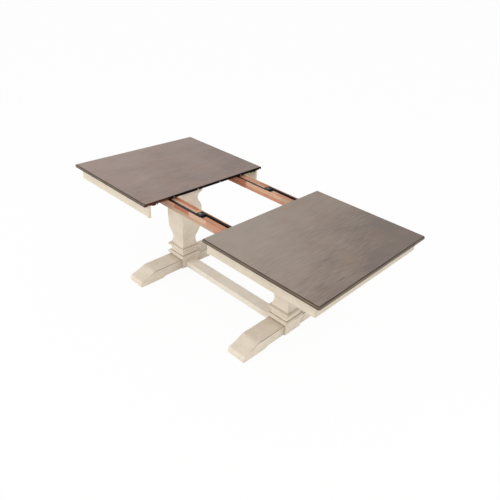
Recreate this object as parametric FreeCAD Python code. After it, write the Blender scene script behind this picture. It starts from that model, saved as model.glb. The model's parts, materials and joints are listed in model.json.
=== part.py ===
import FreeCAD, Part
import math
import os

# Extending dining table on two pedestals, shown drawn apart. All lengths are in millimetres.
# X runs along the table and Y across it. The floor is at zero height under the table's middle.
# "left" is towards -X, "right" towards +X, "near" towards -Y and "far" towards +Y.
# The right half is the left half turned half way round, as the two equaliser slides are.

# Whole table
TABLE_HEIGHT = 762.0
TABLE_WIDTH = 1066.8
HALF_LENGTH = 812.8
OPEN_GAP = 533.4
SHUT_GAP = 0.4

# Clearances and cuts
SEAT_GAP = 0.3
BORE_GAP = 0.15
RUNNING_GAP = 0.1
OVERRUN = 12.0

# Top boards, moulded on three sides: a small step, a ledge and a rounded edge
TOP_THICKNESS = 19.05
TOP_CORNER_RADIUS = 13.0
TOP_STEP = 1.5
TOP_LEDGE = 1.0
TOP_ROUND = 7.0
TOP_UNDER_EASE = 2.5

# Aprons, whose lower edge drops to a small lip beside the gap
APRON_INSET = 35.8
APRON_THICKNESS = 16.0
APRON_HEIGHT = 81.95
APRON_GAP_SETBACK = 1.8
APRON_LIP_DROP = 7.0
APRON_LIP_END = 8.0
APRON_LIP_RUN = 20.0
APRON_LIP_ROUND = 6.0

# Corner blocks and battens under the top
CORNER_BLOCK_LEG = 62.0
CORNER_BLOCK_HEIGHT = 50.0
CORNER_BLOCK_TIP = 10.0
BATTEN_WIDTH = 44.0
BATTEN_HEIGHT = 19.0
BATTEN_SIDE_GAP = 7.1
BATTEN_FROM_GAP = 64.0
BATTEN_PITCH = 370.0
BATTEN_COUNT = 2

# Equaliser slides: a centre member with a rail on each side, held by dovetails
SLIDE_FROM_EDGE = 220.9
CENTRE_WIDTH = 40.0
CENTRE_PAST_PEDESTAL = 85.5
RAIL_WIDTH = 20.0
RAIL_HEIGHT = 52.0
RAIL_SIDE_GAP = 0.4
RAIL_PAST_MIDDLE = 415.0
RAIL_FROM_APRON = 107.0
RAIL_PLANED = 0.6
REBATE_DEPTH = 11.0
REBATE_WIDTH = 13.5
DOVETAIL_NECK = 10.0
DOVETAIL_TIP = 14.0
DOVETAIL_DEPTH = 8.0
DOVETAIL_GAP = 0.35

# Rack and pinion in each slide
MODULE = 2.8125
PINION_TEETH = 16
RACK_TEETH_PAST_PINION = 2
PRESSURE_ANGLE = 20.0
TOOTH_BACKLASH = 0.25
TOOTH_HEIGHT_SHARE = 0.8
RACK_HEIGHT = 8.0
PINION_HEIGHT = 7.5
AXLE_RADIUS = 4.0
AXLE_DEPTH = 26.0
AXLE_HEAD_RADIUS = 7.5

# Bracket over each pinion
BRACKET_SHEET = 2.0
BRACKET_LENGTH = 44.0
BRACKET_WIDTH = 52.0
BRACKET_CLIP = 6.0
BRACKET_LEG_WIDTH = 34.0
BRACKET_FOOT = 13.0
BRACKET_PINION_GAP = 1.5

# Alignment pins in the left half and their sockets in the right half
PIN_COUNT = 6
PIN_FROM_EDGE = 25.4
PIN_RADIUS = 4.0
PIN_PROUD = 9.5
PIN_DEPTH = 22.0
PIN_SHANK_RADIUS = 3.5
SOCKET_RADIUS = 4.3
SOCKET_DEPTH = 14.0

# Latches that hold the shut halves together
LATCH_FROM_EDGE = 75.4
LATCH_FROM_GAP = 13.0
LATCH_SHEET = 2.0
LATCH_PLATE_LENGTH = 24.0
LATCH_PLATE_WIDTH = 36.0
LATCH_RIVET_RADIUS = 3.0
LATCH_RIVET_HEAD = 6.0
LATCH_CAP = 1.5
LEVER_SHEET = 2.5
LEVER_HUB = 19.0
LEVER_RIM = 4.4
LEVER_AHEAD = 28.0
LEVER_BEHIND = 22.0
LEVER_TAB_SPAN = 20.0
LEVER_TAB_DROP = 8.0
LEVER_TAB_SHEET = 2.0
STUD_FROM_GAP = 12.0
STUD_RADIUS = 3.0
STUD_GAP = 0.4
KEEPER_LENGTH = 22.0
KEEPER_WIDTH = 32.0

# Pedestals: a square post, a double moulding, a square baluster and a cap
PEDESTAL_SPREAD = 1029.0
POST_WIDTH = 156.0
POST_FLOOR_GAP = 14.0
POST_HEIGHT = 78.0
MOULDING_WIDTH = 178.0
MOULDING_HEIGHT = 96.0
COLUMN_WIDTH = 177.0
COLUMN_CORE = 70.0
CAP_WIDTH = 180.0
CAP_HEIGHT = 13.0
CAP_ROUND = 4.0
BEAM_WIDTH = 140.0
BEAM_HEIGHT = 45.35
BEAM_PAST_SLIDE = 67.5
BEAM_END_RISE = 24.0
BEAM_END_RUN = 70.0

# Feet and stretcher
FOOT_WIDTH = 136.3
FOOT_REACH = 377.0
FOOT_HEIGHT = 88.0
FOOT_TOE_ROUND = 9.0
GLIDE_RADIUS = 16.0
GLIDE_HEIGHT = 1.5
GLIDE_FROM_TOE = 34.0
STRETCHER_WIDTH = 88.0
STRETCHER_HEIGHT = 47.0
STRETCHER_FLOOR_GAP = 23.0
STRETCHER_CHAMFER = 3.0

# Studs that join the stretcher to the posts
STUD_BOLT_RADIUS = 4.0
STUD_BOLT_IN_POST = 55.0
STUD_BOLT_GRIP = 60.0

# Outlines of the square turnings, as shares of the half width and of the height
MOULDING_START_SHARES = (0.89, 0.0)
MOULDING_STEP_SHARES = (
    ("arc", (1.0, 0.125), (0.925, 0.25)),
    ("line", (0.865, 0.29)),
    ("arc", (0.79, 0.36), (0.755, 0.48)),
    ("arc", (0.80, 0.64), (0.925, 0.74)),
    ("arc", (1.0, 0.825), (0.925, 0.91)),
    ("line", (0.865, 0.94)),
    ("line", (0.85, 1.0)),
)
COLUMN_START_SHARES = (0.847, 0.0)
COLUMN_STEP_SHARES = (
    ("arc", (0.787, 0.006), (0.76, 0.018)),
    ("arc", (0.676, 0.096), (0.755, 0.196)),
    ("arc", (0.878, 0.279), (0.956, 0.41)),
    ("arc", (0.998, 0.59), (0.985, 0.736)),
    ("line", (0.862, 0.792)),
    ("arc", (0.75, 0.876), (0.875, 0.96)),
    ("line", (0.995, 1.0)),
)

# Outline of a foot from the post outwards, as shares of its reach and of its height
FOOT_FLAT_SHARE = 0.615
FOOT_ROLL_SHARES = ((0.668, 0.979), (0.712, 0.905))
FOOT_SCOOP_SHARES = ((0.82, 0.70), (0.95, 0.537))
FOOT_NOSE_SHARES = ((0.986, 0.443), (1.0, 0.273))
FOOT_PAD_SHARE = 0.496
FOOT_ARCH_SHARE = 0.39

# Sizes that follow from those above
TRAVEL = (OPEN_GAP - SHUT_GAP) / 2
GAP_EDGE = -OPEN_GAP / 2
OUTER_EDGE = GAP_EDGE - HALF_LENGTH
UNDER_TOP = TABLE_HEIGHT - TOP_THICKNESS
MID_TOP = TABLE_HEIGHT - TOP_THICKNESS / 2
APRON_FACE_Y = TABLE_WIDTH / 2 - APRON_INSET
APRON_FACE_X = OUTER_EDGE + APRON_INSET
APRON_BOTTOM = UNDER_TOP - APRON_HEIGHT
SLIDE_Y = TABLE_WIDTH / 2 - SLIDE_FROM_EDGE
REBATE_FLOOR = UNDER_TOP - REBATE_DEPTH
RAIL_BOTTOM = UNDER_TOP - RAIL_HEIGHT
RAIL_INNER = CENTRE_WIDTH / 2 + RAIL_SIDE_GAP
RAIL_OUTER = RAIL_INNER + RAIL_WIDTH
REBATE_WALL = RAIL_INNER + REBATE_WIDTH
BEAM_TOP = RAIL_BOTTOM - RAIL_PLANED
RAIL_START = APRON_FACE_X + APRON_THICKNESS + RAIL_FROM_APRON
CENTRE_LENGTH = PEDESTAL_SPREAD + 2 * CENTRE_PAST_PEDESTAL
TONGUE_TIP = RAIL_INNER - DOVETAIL_DEPTH
TONGUE_Z = (RAIL_BOTTOM + REBATE_FLOOR) / 2
PEDESTAL_X = PEDESTAL_SPREAD / 2
POST_TOP = POST_FLOOR_GAP + POST_HEIGHT
MOULDING_TOP = POST_TOP + MOULDING_HEIGHT
CAP_TOP = BEAM_TOP - BEAM_HEIGHT
COLUMN_TOP = CAP_TOP - CAP_HEIGHT
COLUMN_HEIGHT = COLUMN_TOP - MOULDING_TOP
PITCH_RADIUS = MODULE * PINION_TEETH / 2
TOOTH_PITCH = math.pi * MODULE
ADDENDUM = TOOTH_HEIGHT_SHARE * MODULE
RACK_TEETH = math.ceil(TRAVEL / TOOTH_PITCH) + 2 * RACK_TEETH_PAST_PINION
PINION_BOTTOM = REBATE_FLOOR + SEAT_GAP
BRACKET_BOTTOM = REBATE_FLOOR + RACK_HEIGHT + SEAT_GAP
LATCH_X = GAP_EDGE - LATCH_FROM_GAP
LATCH_Y = TABLE_WIDTH / 2 - LATCH_FROM_EDGE
STUD_REACH = LATCH_FROM_GAP + SHUT_GAP + STUD_FROM_GAP
LATCH_PLATE_BOTTOM = UNDER_TOP - LATCH_SHEET
LEVER_TOP = LATCH_PLATE_BOTTOM - SEAT_GAP
LEVER_BOTTOM = LEVER_TOP - LEVER_SHEET
LATCH_HEAD_TOP = LEVER_BOTTOM - SEAT_GAP
LATCH_HEAD_BOTTOM = LATCH_HEAD_TOP - LATCH_CAP
STRETCHER_TOP = STRETCHER_FLOOR_GAP + STRETCHER_HEIGHT
STRETCHER_MID = STRETCHER_FLOOR_GAP + STRETCHER_HEIGHT / 2

UP = FreeCAD.Vector(0, 0, 1)
ALONG = FreeCAD.Vector(1, 0, 0)
ACROSS = FreeCAD.Vector(0, 1, 0)
MIDDLE = FreeCAD.Vector(0, 0, 0)
SIDES = (("near", -1), ("far", 1))
ENDS = (("left", -1), ("right", 1))


# Shapes that the pieces are made from


def block(x, y, z):
    """Box between a low and a high value on each axis."""
    corner = FreeCAD.Vector(x[0], y[0], z[0])
    return Part.makeBox(x[1] - x[0], y[1] - y[0], z[1] - z[0], corner)


def bar(radius, start, direction, length):
    """Round bar from a start point along a direction."""
    return Part.makeCylinder(radius, length, FreeCAD.Vector(*start), direction)


def polygon(points, rise):
    """Solid over a closed outline of straight sides, raised along a vector."""
    return Part.Face(Part.makePolygon(points + points[:1])).extrude(rise)


def outline_face(start, steps, place):
    """Face in an outline of lines, arcs and curves, closed by a straight side.

    Each step is a kind and its (u, v) points, and place turns u and v into a point in space.
    """
    edges = []
    here = start
    for kind, *points in steps:
        reach = [place(*point) for point in [here] + points]
        if kind == "line":
            edges.append(Part.LineSegment(*reach).toShape())
        elif kind == "arc":
            edges.append(Part.Arc(*reach).toShape())
        else:
            curve = Part.BSplineCurve()
            curve.interpolate(reach)
            edges.append(curve.toShape())
        here = points[-1]
    edges.append(Part.LineSegment(place(*here), place(*start)).toShape())
    return Part.Face(Part.Wire(edges))


def quarter_round_inset(radius):
    """Distance along each axis from a square corner to the middle of the arc that rounds it."""
    return radius * (1 - math.sqrt(0.5))


def ogee(start, end):
    """Two arcs between points of an outline, level where they start and end."""
    run = end[0] - start[0]
    rise = end[1] - start[1]
    slope = math.atan2(abs(rise), abs(run))
    radius = (run * run + rise * rise) / (4 * abs(rise))
    over = math.copysign(radius * math.sin(slope), run)
    up = math.copysign(radius * (1 - math.cos(slope)), rise)
    middle = (start[0] + run / 2, start[1] + rise / 2)
    return [
        ("arc", (start[0] + over, start[1] + up), middle),
        ("arc", (end[0] - over, end[1] - up), end),
    ]


def sized(steps, width, height):
    """Outline steps with their shares turned into a width and a height."""
    return [
        (kind, *((u * width, v * height) for u, v in points))
        for kind, *points in steps
    ]


def other_side(start, steps):
    """Steps that lead back along the mirrored side of an outline."""
    ends = [start] + [points[-1] for kind, *points in steps]
    back = []
    for index in reversed(range(len(steps))):
        kind, *points = steps[index]
        path = points[-2::-1] + [ends[index]]
        back.append((kind, *((-u, v) for u, v in path)))
    return back


def square_turning(start_share, step_shares, width, height, base):
    """Square section whose half width follows an outline, with mitred corners, on the origin."""
    half = width / 2
    start = (start_share[0] * half, start_share[1] * height)
    steps = sized(step_shares, half, height)
    head = steps[-1][-1]
    path = steps + [("line", (-head[0], head[1]))] + other_side(start, steps)
    side = outline_face(start, path, lambda u, v: FreeCAD.Vector(u, -width, base + v))
    slab = side.extrude(ACROSS * (2 * width))
    return slab.common(slab.rotated(MIDDLE, UP, 90)).removeSplitter()


def edges_where(shape, wanted):
    """Edges of a shape whose middle point passes a test."""
    return [edge for edge in shape.Edges if wanted(edge.BoundBox.Center)]


def turned(shape):
    """Copy turned half way round the table's middle, from left to right."""
    return shape.rotated(MIDDLE, UP, 180)


def group(shapes):
    """Separate solids kept in one sub-part."""
    return Part.makeCompound(shapes)


def spread(distance):
    """The two places that lie a distance apart about zero."""
    return (-distance / 2, distance / 2)


# Top boards


def pin_places():
    """Places of the alignment pins across the table."""
    last = TABLE_WIDTH / 2 - PIN_FROM_EDGE
    return [last * (2 * index / (PIN_COUNT - 1) - 1) for index in range(PIN_COUNT)]


def moulded_board():
    """Left top board with its moulded edge on three sides and a square edge at the gap."""
    half = TABLE_WIDTH / 2
    shoulder = TABLE_HEIGHT - TOP_STEP
    past = GAP_EDGE + OVERRUN
    board = block((OUTER_EDGE, past), (-half, half), (UNDER_TOP, shoulder))
    board = board.makeFillet(
        TOP_CORNER_RADIUS,
        edges_where(board, lambda at: at.x < GAP_EDGE - HALF_LENGTH / 2 and abs(at.z - shoulder) > TOP_STEP
                    and abs(at.z - UNDER_TOP) > TOP_STEP),
    )
    board = board.makeFillet(
        TOP_ROUND, edges_where(board, lambda at: at.x < GAP_EDGE and shoulder - at.z < TOP_STEP)
    )
    board = board.makeChamfer(
        TOP_UNDER_EASE, edges_where(board, lambda at: at.x < GAP_EDGE and at.z - UNDER_TOP < TOP_STEP)
    )
    inset = TOP_ROUND + TOP_LEDGE
    field = block((OUTER_EDGE + inset, past), (inset - half, half - inset), (shoulder, TABLE_HEIGHT))
    field = field.makeFillet(
        TOP_CORNER_RADIUS - inset,
        edges_where(field, lambda at: at.x < GAP_EDGE - HALF_LENGTH / 2
                    and shoulder < at.z < TABLE_HEIGHT and abs(abs(at.y) - half) < inset + TOP_LEDGE),
    )
    beyond = block((GAP_EDGE, past + OVERRUN), (-TABLE_WIDTH, TABLE_WIDTH), (0, TABLE_HEIGHT + OVERRUN))
    return board.fuse(field).removeSplitter().cut(beyond)


def top_board(radius, depth):
    """Left top board with a row of bores in its gap edge."""
    bores = [
        bar(radius, (GAP_EDGE + OVERRUN, y, MID_TOP), ALONG * -1, depth + OVERRUN)
        for y in pin_places()
    ]
    return moulded_board().cut(group(bores))


def alignment_pins():
    """Pins in the left gap edge, each with a shoulder against the edge."""
    pins = []
    for y in pin_places():
        shank = bar(PIN_SHANK_RADIUS, (GAP_EDGE, y, MID_TOP), ALONG * -1, PIN_DEPTH)
        head = bar(PIN_RADIUS, (GAP_EDGE, y, MID_TOP), ALONG, PIN_PROUD)
        pins.append(shank.fuse(head))
    return group(pins)


# Aprons and the blocks behind them


def side_apron(sign):
    """Left half's apron along one side, mitred at the outer corner, with a lip beside the gap."""
    length = GAP_EDGE - APRON_GAP_SETBACK - APRON_FACE_X
    lip = APRON_BOTTOM - APRON_LIP_DROP
    bend = quarter_round_inset(APRON_LIP_ROUND)
    start = (0, UNDER_TOP)
    steps = [
        ("line", (0, lip + APRON_LIP_ROUND)),
        ("arc", (bend, lip + bend), (APRON_LIP_ROUND, lip)),
        ("line", (APRON_LIP_END, lip)),
    ]
    steps += ogee((APRON_LIP_END, lip), (APRON_LIP_END + APRON_LIP_RUN, APRON_BOTTOM))
    steps += [("line", (length, APRON_BOTTOM)), ("line", (length, UNDER_TOP))]
    inner = APRON_FACE_Y - APRON_THICKNESS
    gap_end = GAP_EDGE - APRON_GAP_SETBACK
    face = outline_face(start, steps, lambda u, v: FreeCAD.Vector(gap_end - u, sign * inner, v))
    apron = face.extrude(ACROSS * (sign * APRON_THICKNESS))
    return apron.cut(mitre_wedge(sign, APRON_FACE_X, inner))


def mitre_wedge(sign, x, y):
    """Prism that cuts one corner of an apron along its mitre, with its square corner at x, y."""
    inner_x = APRON_FACE_X + APRON_THICKNESS
    inner_y = APRON_FACE_Y - APRON_THICKNESS
    plan = [(APRON_FACE_X, APRON_FACE_Y), (inner_x, inner_y), (x, y)]
    return polygon([FreeCAD.Vector(px, sign * py, 0) for px, py in plan], UP * TABLE_HEIGHT)


def end_apron():
    """Left half's apron across the end, mitred at both corners."""
    inner_x = APRON_FACE_X + APRON_THICKNESS
    apron = block((APRON_FACE_X, inner_x), (-APRON_FACE_Y, APRON_FACE_Y), (APRON_BOTTOM, UNDER_TOP))
    for side, sign in SIDES:
        apron = apron.cut(mitre_wedge(sign, inner_x, APRON_FACE_Y))
    return apron


def corner_blocks():
    """Blocks glued into the two outer corners of the left half."""
    blocks = []
    inner_x = APRON_FACE_X + APRON_THICKNESS
    inner_y = APRON_FACE_Y - APRON_THICKNESS
    plan = [
        (0, 0), (CORNER_BLOCK_LEG, 0), (CORNER_BLOCK_LEG, CORNER_BLOCK_TIP),
        (CORNER_BLOCK_TIP, CORNER_BLOCK_LEG), (0, CORNER_BLOCK_LEG),
    ]
    low = UNDER_TOP - CORNER_BLOCK_HEIGHT
    for side, sign in SIDES:
        points = [FreeCAD.Vector(inner_x + x, sign * (inner_y - y), low) for x, y in plan]
        blocks.append(polygon(points, UP * CORNER_BLOCK_HEIGHT))
    return group(blocks)


def battens():
    """Battens across the underside of the left half, between the slides."""
    pieces = []
    length = 2 * (SLIDE_Y - RAIL_OUTER - BATTEN_SIDE_GAP)
    for index in range(BATTEN_COUNT):
        high = GAP_EDGE - BATTEN_FROM_GAP - BATTEN_PITCH * index
        pieces.append(block((high - BATTEN_WIDTH, high), spread(length),
                            (UNDER_TOP - BATTEN_HEIGHT, UNDER_TOP)))
    return group(pieces)


# Equaliser slides


def tongue_half_height(distance):
    """Half height of the dovetail tongue at a distance from the slide's middle."""
    share = (RAIL_INNER - distance) / DOVETAIL_DEPTH
    return (DOVETAIL_NECK + share * (DOVETAIL_TIP - DOVETAIL_NECK)) / 2


def rail(slide_y):
    """Left half's rail beside a slide's middle, with its dovetail, rebate and planed end."""
    neck = tongue_half_height(RAIL_INNER)
    tip = tongue_half_height(TONGUE_TIP)
    section = [
        (RAIL_OUTER, RAIL_BOTTOM), (RAIL_INNER, RAIL_BOTTOM), (RAIL_INNER, TONGUE_Z - neck),
        (TONGUE_TIP, TONGUE_Z - tip), (TONGUE_TIP, TONGUE_Z + tip), (RAIL_INNER, TONGUE_Z + neck),
        (RAIL_INNER, REBATE_FLOOR), (REBATE_WALL, REBATE_FLOOR), (REBATE_WALL, UNDER_TOP),
        (RAIL_OUTER, UNDER_TOP),
    ]
    points = [FreeCAD.Vector(RAIL_START, slide_y - across, z) for across, z in section]
    body = polygon(points, ALONG * (RAIL_PAST_MIDDLE - RAIL_START))
    planed = block((GAP_EDGE, RAIL_PAST_MIDDLE + OVERRUN), (slide_y - RAIL_OUTER - OVERRUN, slide_y),
                   (UNDER_TOP - RAIL_PLANED, UNDER_TOP + OVERRUN))
    return body.cut(planed)


def groove_points(sign):
    """Section of a groove in the centre member, wider than the tongue all round."""
    face = CENTRE_WIDTH / 2
    floor = TONGUE_TIP - DOVETAIL_GAP
    mouth_y = face + OVERRUN
    ease = DOVETAIL_GAP * math.hypot(1, (DOVETAIL_TIP - DOVETAIL_NECK) / (2 * DOVETAIL_DEPTH))
    mouth = tongue_half_height(mouth_y) + ease
    deep = tongue_half_height(floor) + ease
    section = [(mouth_y, -mouth), (floor, -deep), (floor, deep), (mouth_y, mouth)]
    return [FreeCAD.Vector(-CENTRE_LENGTH, sign * y, TONGUE_Z + z) for y, z in section]


def centre_slide(slide_y):
    """Centre member with a dovetail groove on each side and a hole for the pinion's axle."""
    member = block(spread(CENTRE_LENGTH), spread(CENTRE_WIDTH), (BEAM_TOP, REBATE_FLOOR))
    cuts = [polygon(groove_points(sign), ALONG * (2 * CENTRE_LENGTH)) for side, sign in SIDES]
    cuts.append(bar(AXLE_RADIUS + BORE_GAP, (0, 0, REBATE_FLOOR - AXLE_DEPTH), UP, AXLE_DEPTH))
    return member.cut(group(cuts)).translated(ACROSS * slide_y)


# Rack, pinion and bracket


def rack(slide_y):
    """Left half's rack, lying in the rail's rebate with its teeth towards the pinion."""
    slope = math.tan(math.radians(PRESSURE_ANGLE))
    half_tooth = (TOOTH_PITCH - TOOTH_BACKLASH) / 4
    tip = half_tooth - ADDENDUM * slope
    root = half_tooth + MODULE * slope
    tip_y = PITCH_RADIUS - ADDENDUM
    root_y = PITCH_RADIUS + MODULE
    start = (RACK_TEETH_PAST_PINION - RACK_TEETH) * TOOTH_PITCH
    end = RACK_TEETH_PAST_PINION * TOOTH_PITCH
    plan = [(end, root_y), (end, REBATE_WALL), (start, REBATE_WALL), (start, root_y)]
    for index in range(RACK_TEETH):
        middle = start + (index + 0.5) * TOOTH_PITCH
        plan += [
            (middle - root, root_y), (middle - tip, tip_y),
            (middle + tip, tip_y), (middle + root, root_y),
        ]
    points = [FreeCAD.Vector(x, slide_y - y, REBATE_FLOOR) for x, y in plan]
    return polygon(points, UP * RACK_HEIGHT)


def involute_flank(side):
    """Points of one flank of the pinion tooth that points along -Y, from base to tip circle."""
    base = PITCH_RADIUS * math.cos(math.radians(PRESSURE_ANGLE))
    tip = PITCH_RADIUS + ADDENDUM

    def roll(radius):
        """Angle between the flank's start and its point at a radius."""
        turn = math.acos(base / radius)
        return math.tan(turn) - turn

    half_tooth = (TOOTH_PITCH - TOOTH_BACKLASH) / 4 / PITCH_RADIUS + roll(PITCH_RADIUS)
    points = []
    for radius in (base, (base + tip) / 2, tip):
        points.append((radius, side * (half_tooth - roll(radius))))
    return points


def pinion(slide_y):
    """Pinion with involute teeth and a bore for its axle."""
    root = PITCH_RADIUS - MODULE
    low = PINION_BOTTOM

    def at(radius, angle):
        """Point of the plan at a radius and an angle from the -Y direction."""
        return FreeCAD.Vector(radius * math.sin(angle), -radius * math.cos(angle), low)

    step = 2 * math.pi / PINION_TEETH
    rising = involute_flank(-1)
    falling = involute_flank(1)[::-1]
    edges = []
    for index in range(PINION_TEETH):
        turn = index * step
        up = [at(radius, turn + angle) for radius, angle in rising]
        down = [at(radius, turn + angle) for radius, angle in falling]
        foot = at(root, turn + rising[0][1])
        end = at(root, turn + falling[-1][1])
        following = at(root, turn + step + rising[0][1])
        edges.append(Part.LineSegment(foot, up[0]).toShape())
        edges.append(Part.Arc(*up).toShape())
        edges.append(Part.LineSegment(up[-1], down[0]).toShape())
        edges.append(Part.Arc(*down).toShape())
        edges.append(Part.LineSegment(down[-1], end).toShape())
        edges.append(Part.LineSegment(end, following).toShape())
    wheel = Part.Face(Part.Wire(edges)).extrude(UP * PINION_HEIGHT)
    bore = bar(AXLE_RADIUS + RUNNING_GAP, (0, 0, low - OVERRUN), UP, PINION_HEIGHT + 2 * OVERRUN)
    return wheel.cut(bore).translated(ACROSS * slide_y)


def pinion_bracket(slide_y):
    """Sheet bracket over the pinion: a clipped plate, a leg and a foot on the centre member."""
    leg = PITCH_RADIUS + ADDENDUM + BRACKET_PINION_GAP
    right = leg + BRACKET_SHEET
    left = right - BRACKET_LENGTH
    half = BRACKET_WIDTH / 2
    plan = [
        (left + BRACKET_CLIP, -half), (right - BRACKET_CLIP, -half), (right, BRACKET_CLIP - half),
        (right, half - BRACKET_CLIP), (right - BRACKET_CLIP, half), (left + BRACKET_CLIP, half),
        (left, half - BRACKET_CLIP), (left, BRACKET_CLIP - half),
    ]
    plate = polygon([FreeCAD.Vector(x, y, BRACKET_BOTTOM) for x, y in plan], UP * BRACKET_SHEET)
    span = spread(BRACKET_LEG_WIDTH)
    upright = block((leg, right), span, (REBATE_FLOOR, BRACKET_BOTTOM))
    foot = block((right, right + BRACKET_FOOT), span, (REBATE_FLOOR, REBATE_FLOOR + BRACKET_SHEET))
    sheet = plate.multiFuse([upright, foot]).removeSplitter()
    return sheet.cut(axle_head(BORE_GAP)).translated(ACROSS * slide_y)


def axle_head(ease):
    """Countersunk head of the axle screw, flush with the bracket, eased for the bracket's seat."""
    return Part.makeCone(AXLE_RADIUS + ease, AXLE_HEAD_RADIUS + ease, BRACKET_SHEET,
                         FreeCAD.Vector(0, 0, BRACKET_BOTTOM), UP)


def pinion_axle(slide_y):
    """Shoulder screw that the pinion turns on, from the bracket down into the centre member."""
    low = REBATE_FLOOR - AXLE_DEPTH
    shank = bar(AXLE_RADIUS, (0, 0, low), UP, BRACKET_BOTTOM - low)
    return shank.fuse(axle_head(0)).removeSplitter().translated(ACROSS * slide_y)


# Latches


def latch_plates():
    """Plates under the left top with the rivets that the levers turn on."""
    plates = []
    for side, sign in SIDES:
        y = sign * LATCH_Y
        plate = block([LATCH_X + part for part in spread(LATCH_PLATE_LENGTH)],
                      [y + part for part in spread(LATCH_PLATE_WIDTH)], (LATCH_PLATE_BOTTOM, UNDER_TOP))
        rivet = bar(LATCH_RIVET_RADIUS, (LATCH_X, y, LATCH_HEAD_TOP), UP,
                    LATCH_PLATE_BOTTOM - LATCH_HEAD_TOP)
        head = bar(LATCH_RIVET_HEAD, (LATCH_X, y, LATCH_HEAD_BOTTOM), UP, LATCH_CAP)
        plates.append(plate.multiFuse([rivet, head]).removeSplitter())
    return group(plates)


def sector(inner, outer, start, end, low, height):
    """Part of a flat ring about the origin between two angles in degrees."""
    def at(radius, angle):
        """Point at a radius and an angle from +X."""
        turn = math.radians(angle)
        return FreeCAD.Vector(radius * math.cos(turn), radius * math.sin(turn), low)

    middle = (start + end) / 2
    edges = [
        Part.LineSegment(at(inner, start), at(outer, start)).toShape(),
        Part.Arc(at(outer, start), at(outer, middle), at(outer, end)).toShape(),
        Part.LineSegment(at(outer, end), at(inner, end)).toShape(),
        Part.Arc(at(inner, end), at(inner, middle), at(inner, start)).toShape(),
    ]
    return Part.Face(Part.Wire(edges)).extrude(UP * height)


def latch_lever(sign):
    """Lever stowed along the gap edge, with a curved slot for the keeper's stud and a finger tab."""
    slot_half = STUD_RADIUS + STUD_GAP
    rim = STUD_REACH + slot_half + LEVER_RIM
    core = LATCH_RIVET_RADIUS
    hook = sector(core, rim, -LEVER_AHEAD, LEVER_BEHIND, LEVER_BOTTOM, LEVER_SHEET)
    hub = bar(LEVER_HUB, (0, 0, LEVER_BOTTOM), UP, LEVER_SHEET)
    slot = sector(STUD_REACH - slot_half, STUD_REACH + slot_half, -2 * LEVER_AHEAD, 0,
                  LEVER_BOTTOM - OVERRUN, LEVER_SHEET + 2 * OVERRUN)
    slot_end = bar(slot_half, (STUD_REACH, 0, LEVER_BOTTOM - OVERRUN), UP, LEVER_SHEET + 2 * OVERRUN)
    bore = bar(core + RUNNING_GAP, (0, 0, LEVER_BOTTOM - OVERRUN), UP, LEVER_SHEET + 2 * OVERRUN)
    tab = sector(rim - LEVER_TAB_SHEET, rim, -LEVER_TAB_SPAN, 0,
                 LEVER_BOTTOM - LEVER_TAB_DROP, LEVER_TAB_DROP)
    lever = hook.fuse(hub).cut(group([slot, slot_end, bore])).fuse(tab).removeSplitter()
    lever = lever.rotated(MIDDLE, UP, 90)
    if sign > 0:
        lever = lever.mirror(MIDDLE, ACROSS)
    return lever.translated(FreeCAD.Vector(LATCH_X, sign * LATCH_Y, 0))


def latch_keepers():
    """Plates under the right top with the studs that the levers hook."""
    keepers = []
    gap_side = -GAP_EDGE
    stud_x = gap_side + STUD_FROM_GAP
    plate_x = (gap_side + SEAT_GAP, gap_side + SEAT_GAP + KEEPER_LENGTH)
    for side, sign in SIDES:
        y = sign * LATCH_Y
        plate = block(plate_x, [y + part for part in spread(KEEPER_WIDTH)], (LATCH_PLATE_BOTTOM, UNDER_TOP))
        stud = bar(STUD_RADIUS, (stud_x, y, LATCH_HEAD_BOTTOM), UP, LATCH_PLATE_BOTTOM - LATCH_HEAD_BOTTOM)
        keepers.append(plate.fuse(stud).removeSplitter())
    return group(keepers)


# Pedestals, built on the origin and set out to each end


def post_block(inward):
    """Square post at the foot of a pedestal, drilled for the stretcher's stud."""
    half = POST_WIDTH / 2
    post = block((-half, half), (-half, half), (POST_FLOOR_GAP, POST_TOP))
    start = (inward * (half - STUD_BOLT_IN_POST), 0, STRETCHER_MID)
    return post.cut(bar(STUD_BOLT_RADIUS + BORE_GAP, start, ALONG * inward, STUD_BOLT_IN_POST))


def base_moulding():
    """Double moulding between the post and the column."""
    return square_turning(MOULDING_START_SHARES, MOULDING_STEP_SHARES, MOULDING_WIDTH,
                          MOULDING_HEIGHT, POST_TOP)


def column():
    """Square baluster with a waist, a swelling and a shoulder, hollow down the middle."""
    core = block(spread(COLUMN_CORE), spread(COLUMN_CORE), (MOULDING_TOP - OVERRUN, COLUMN_TOP + OVERRUN))
    return square_turning(COLUMN_START_SHARES, COLUMN_STEP_SHARES, COLUMN_WIDTH,
                          COLUMN_HEIGHT, MOULDING_TOP).cut(core)


def cap_plate():
    """Plate on the column, rounded below."""
    plate = block(spread(CAP_WIDTH), spread(CAP_WIDTH), (COLUMN_TOP, CAP_TOP))
    lower = edges_where(plate, lambda at: at.z < COLUMN_TOP + CAP_ROUND)
    return plate.makeFillet(CAP_ROUND, lower)


def cross_beam():
    """Beam across the top of a pedestal that carries both slides, lifted at its ends."""
    half = SLIDE_Y + BEAM_PAST_SLIDE
    section = [
        (-half, BEAM_TOP), (-half, CAP_TOP + BEAM_END_RISE), (BEAM_END_RUN - half, CAP_TOP),
        (half - BEAM_END_RUN, CAP_TOP), (half, CAP_TOP + BEAM_END_RISE), (half, BEAM_TOP),
    ]
    points = [FreeCAD.Vector(-BEAM_WIDTH / 2, y, z) for y, z in section]
    return polygon(points, ALONG * BEAM_WIDTH)


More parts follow.
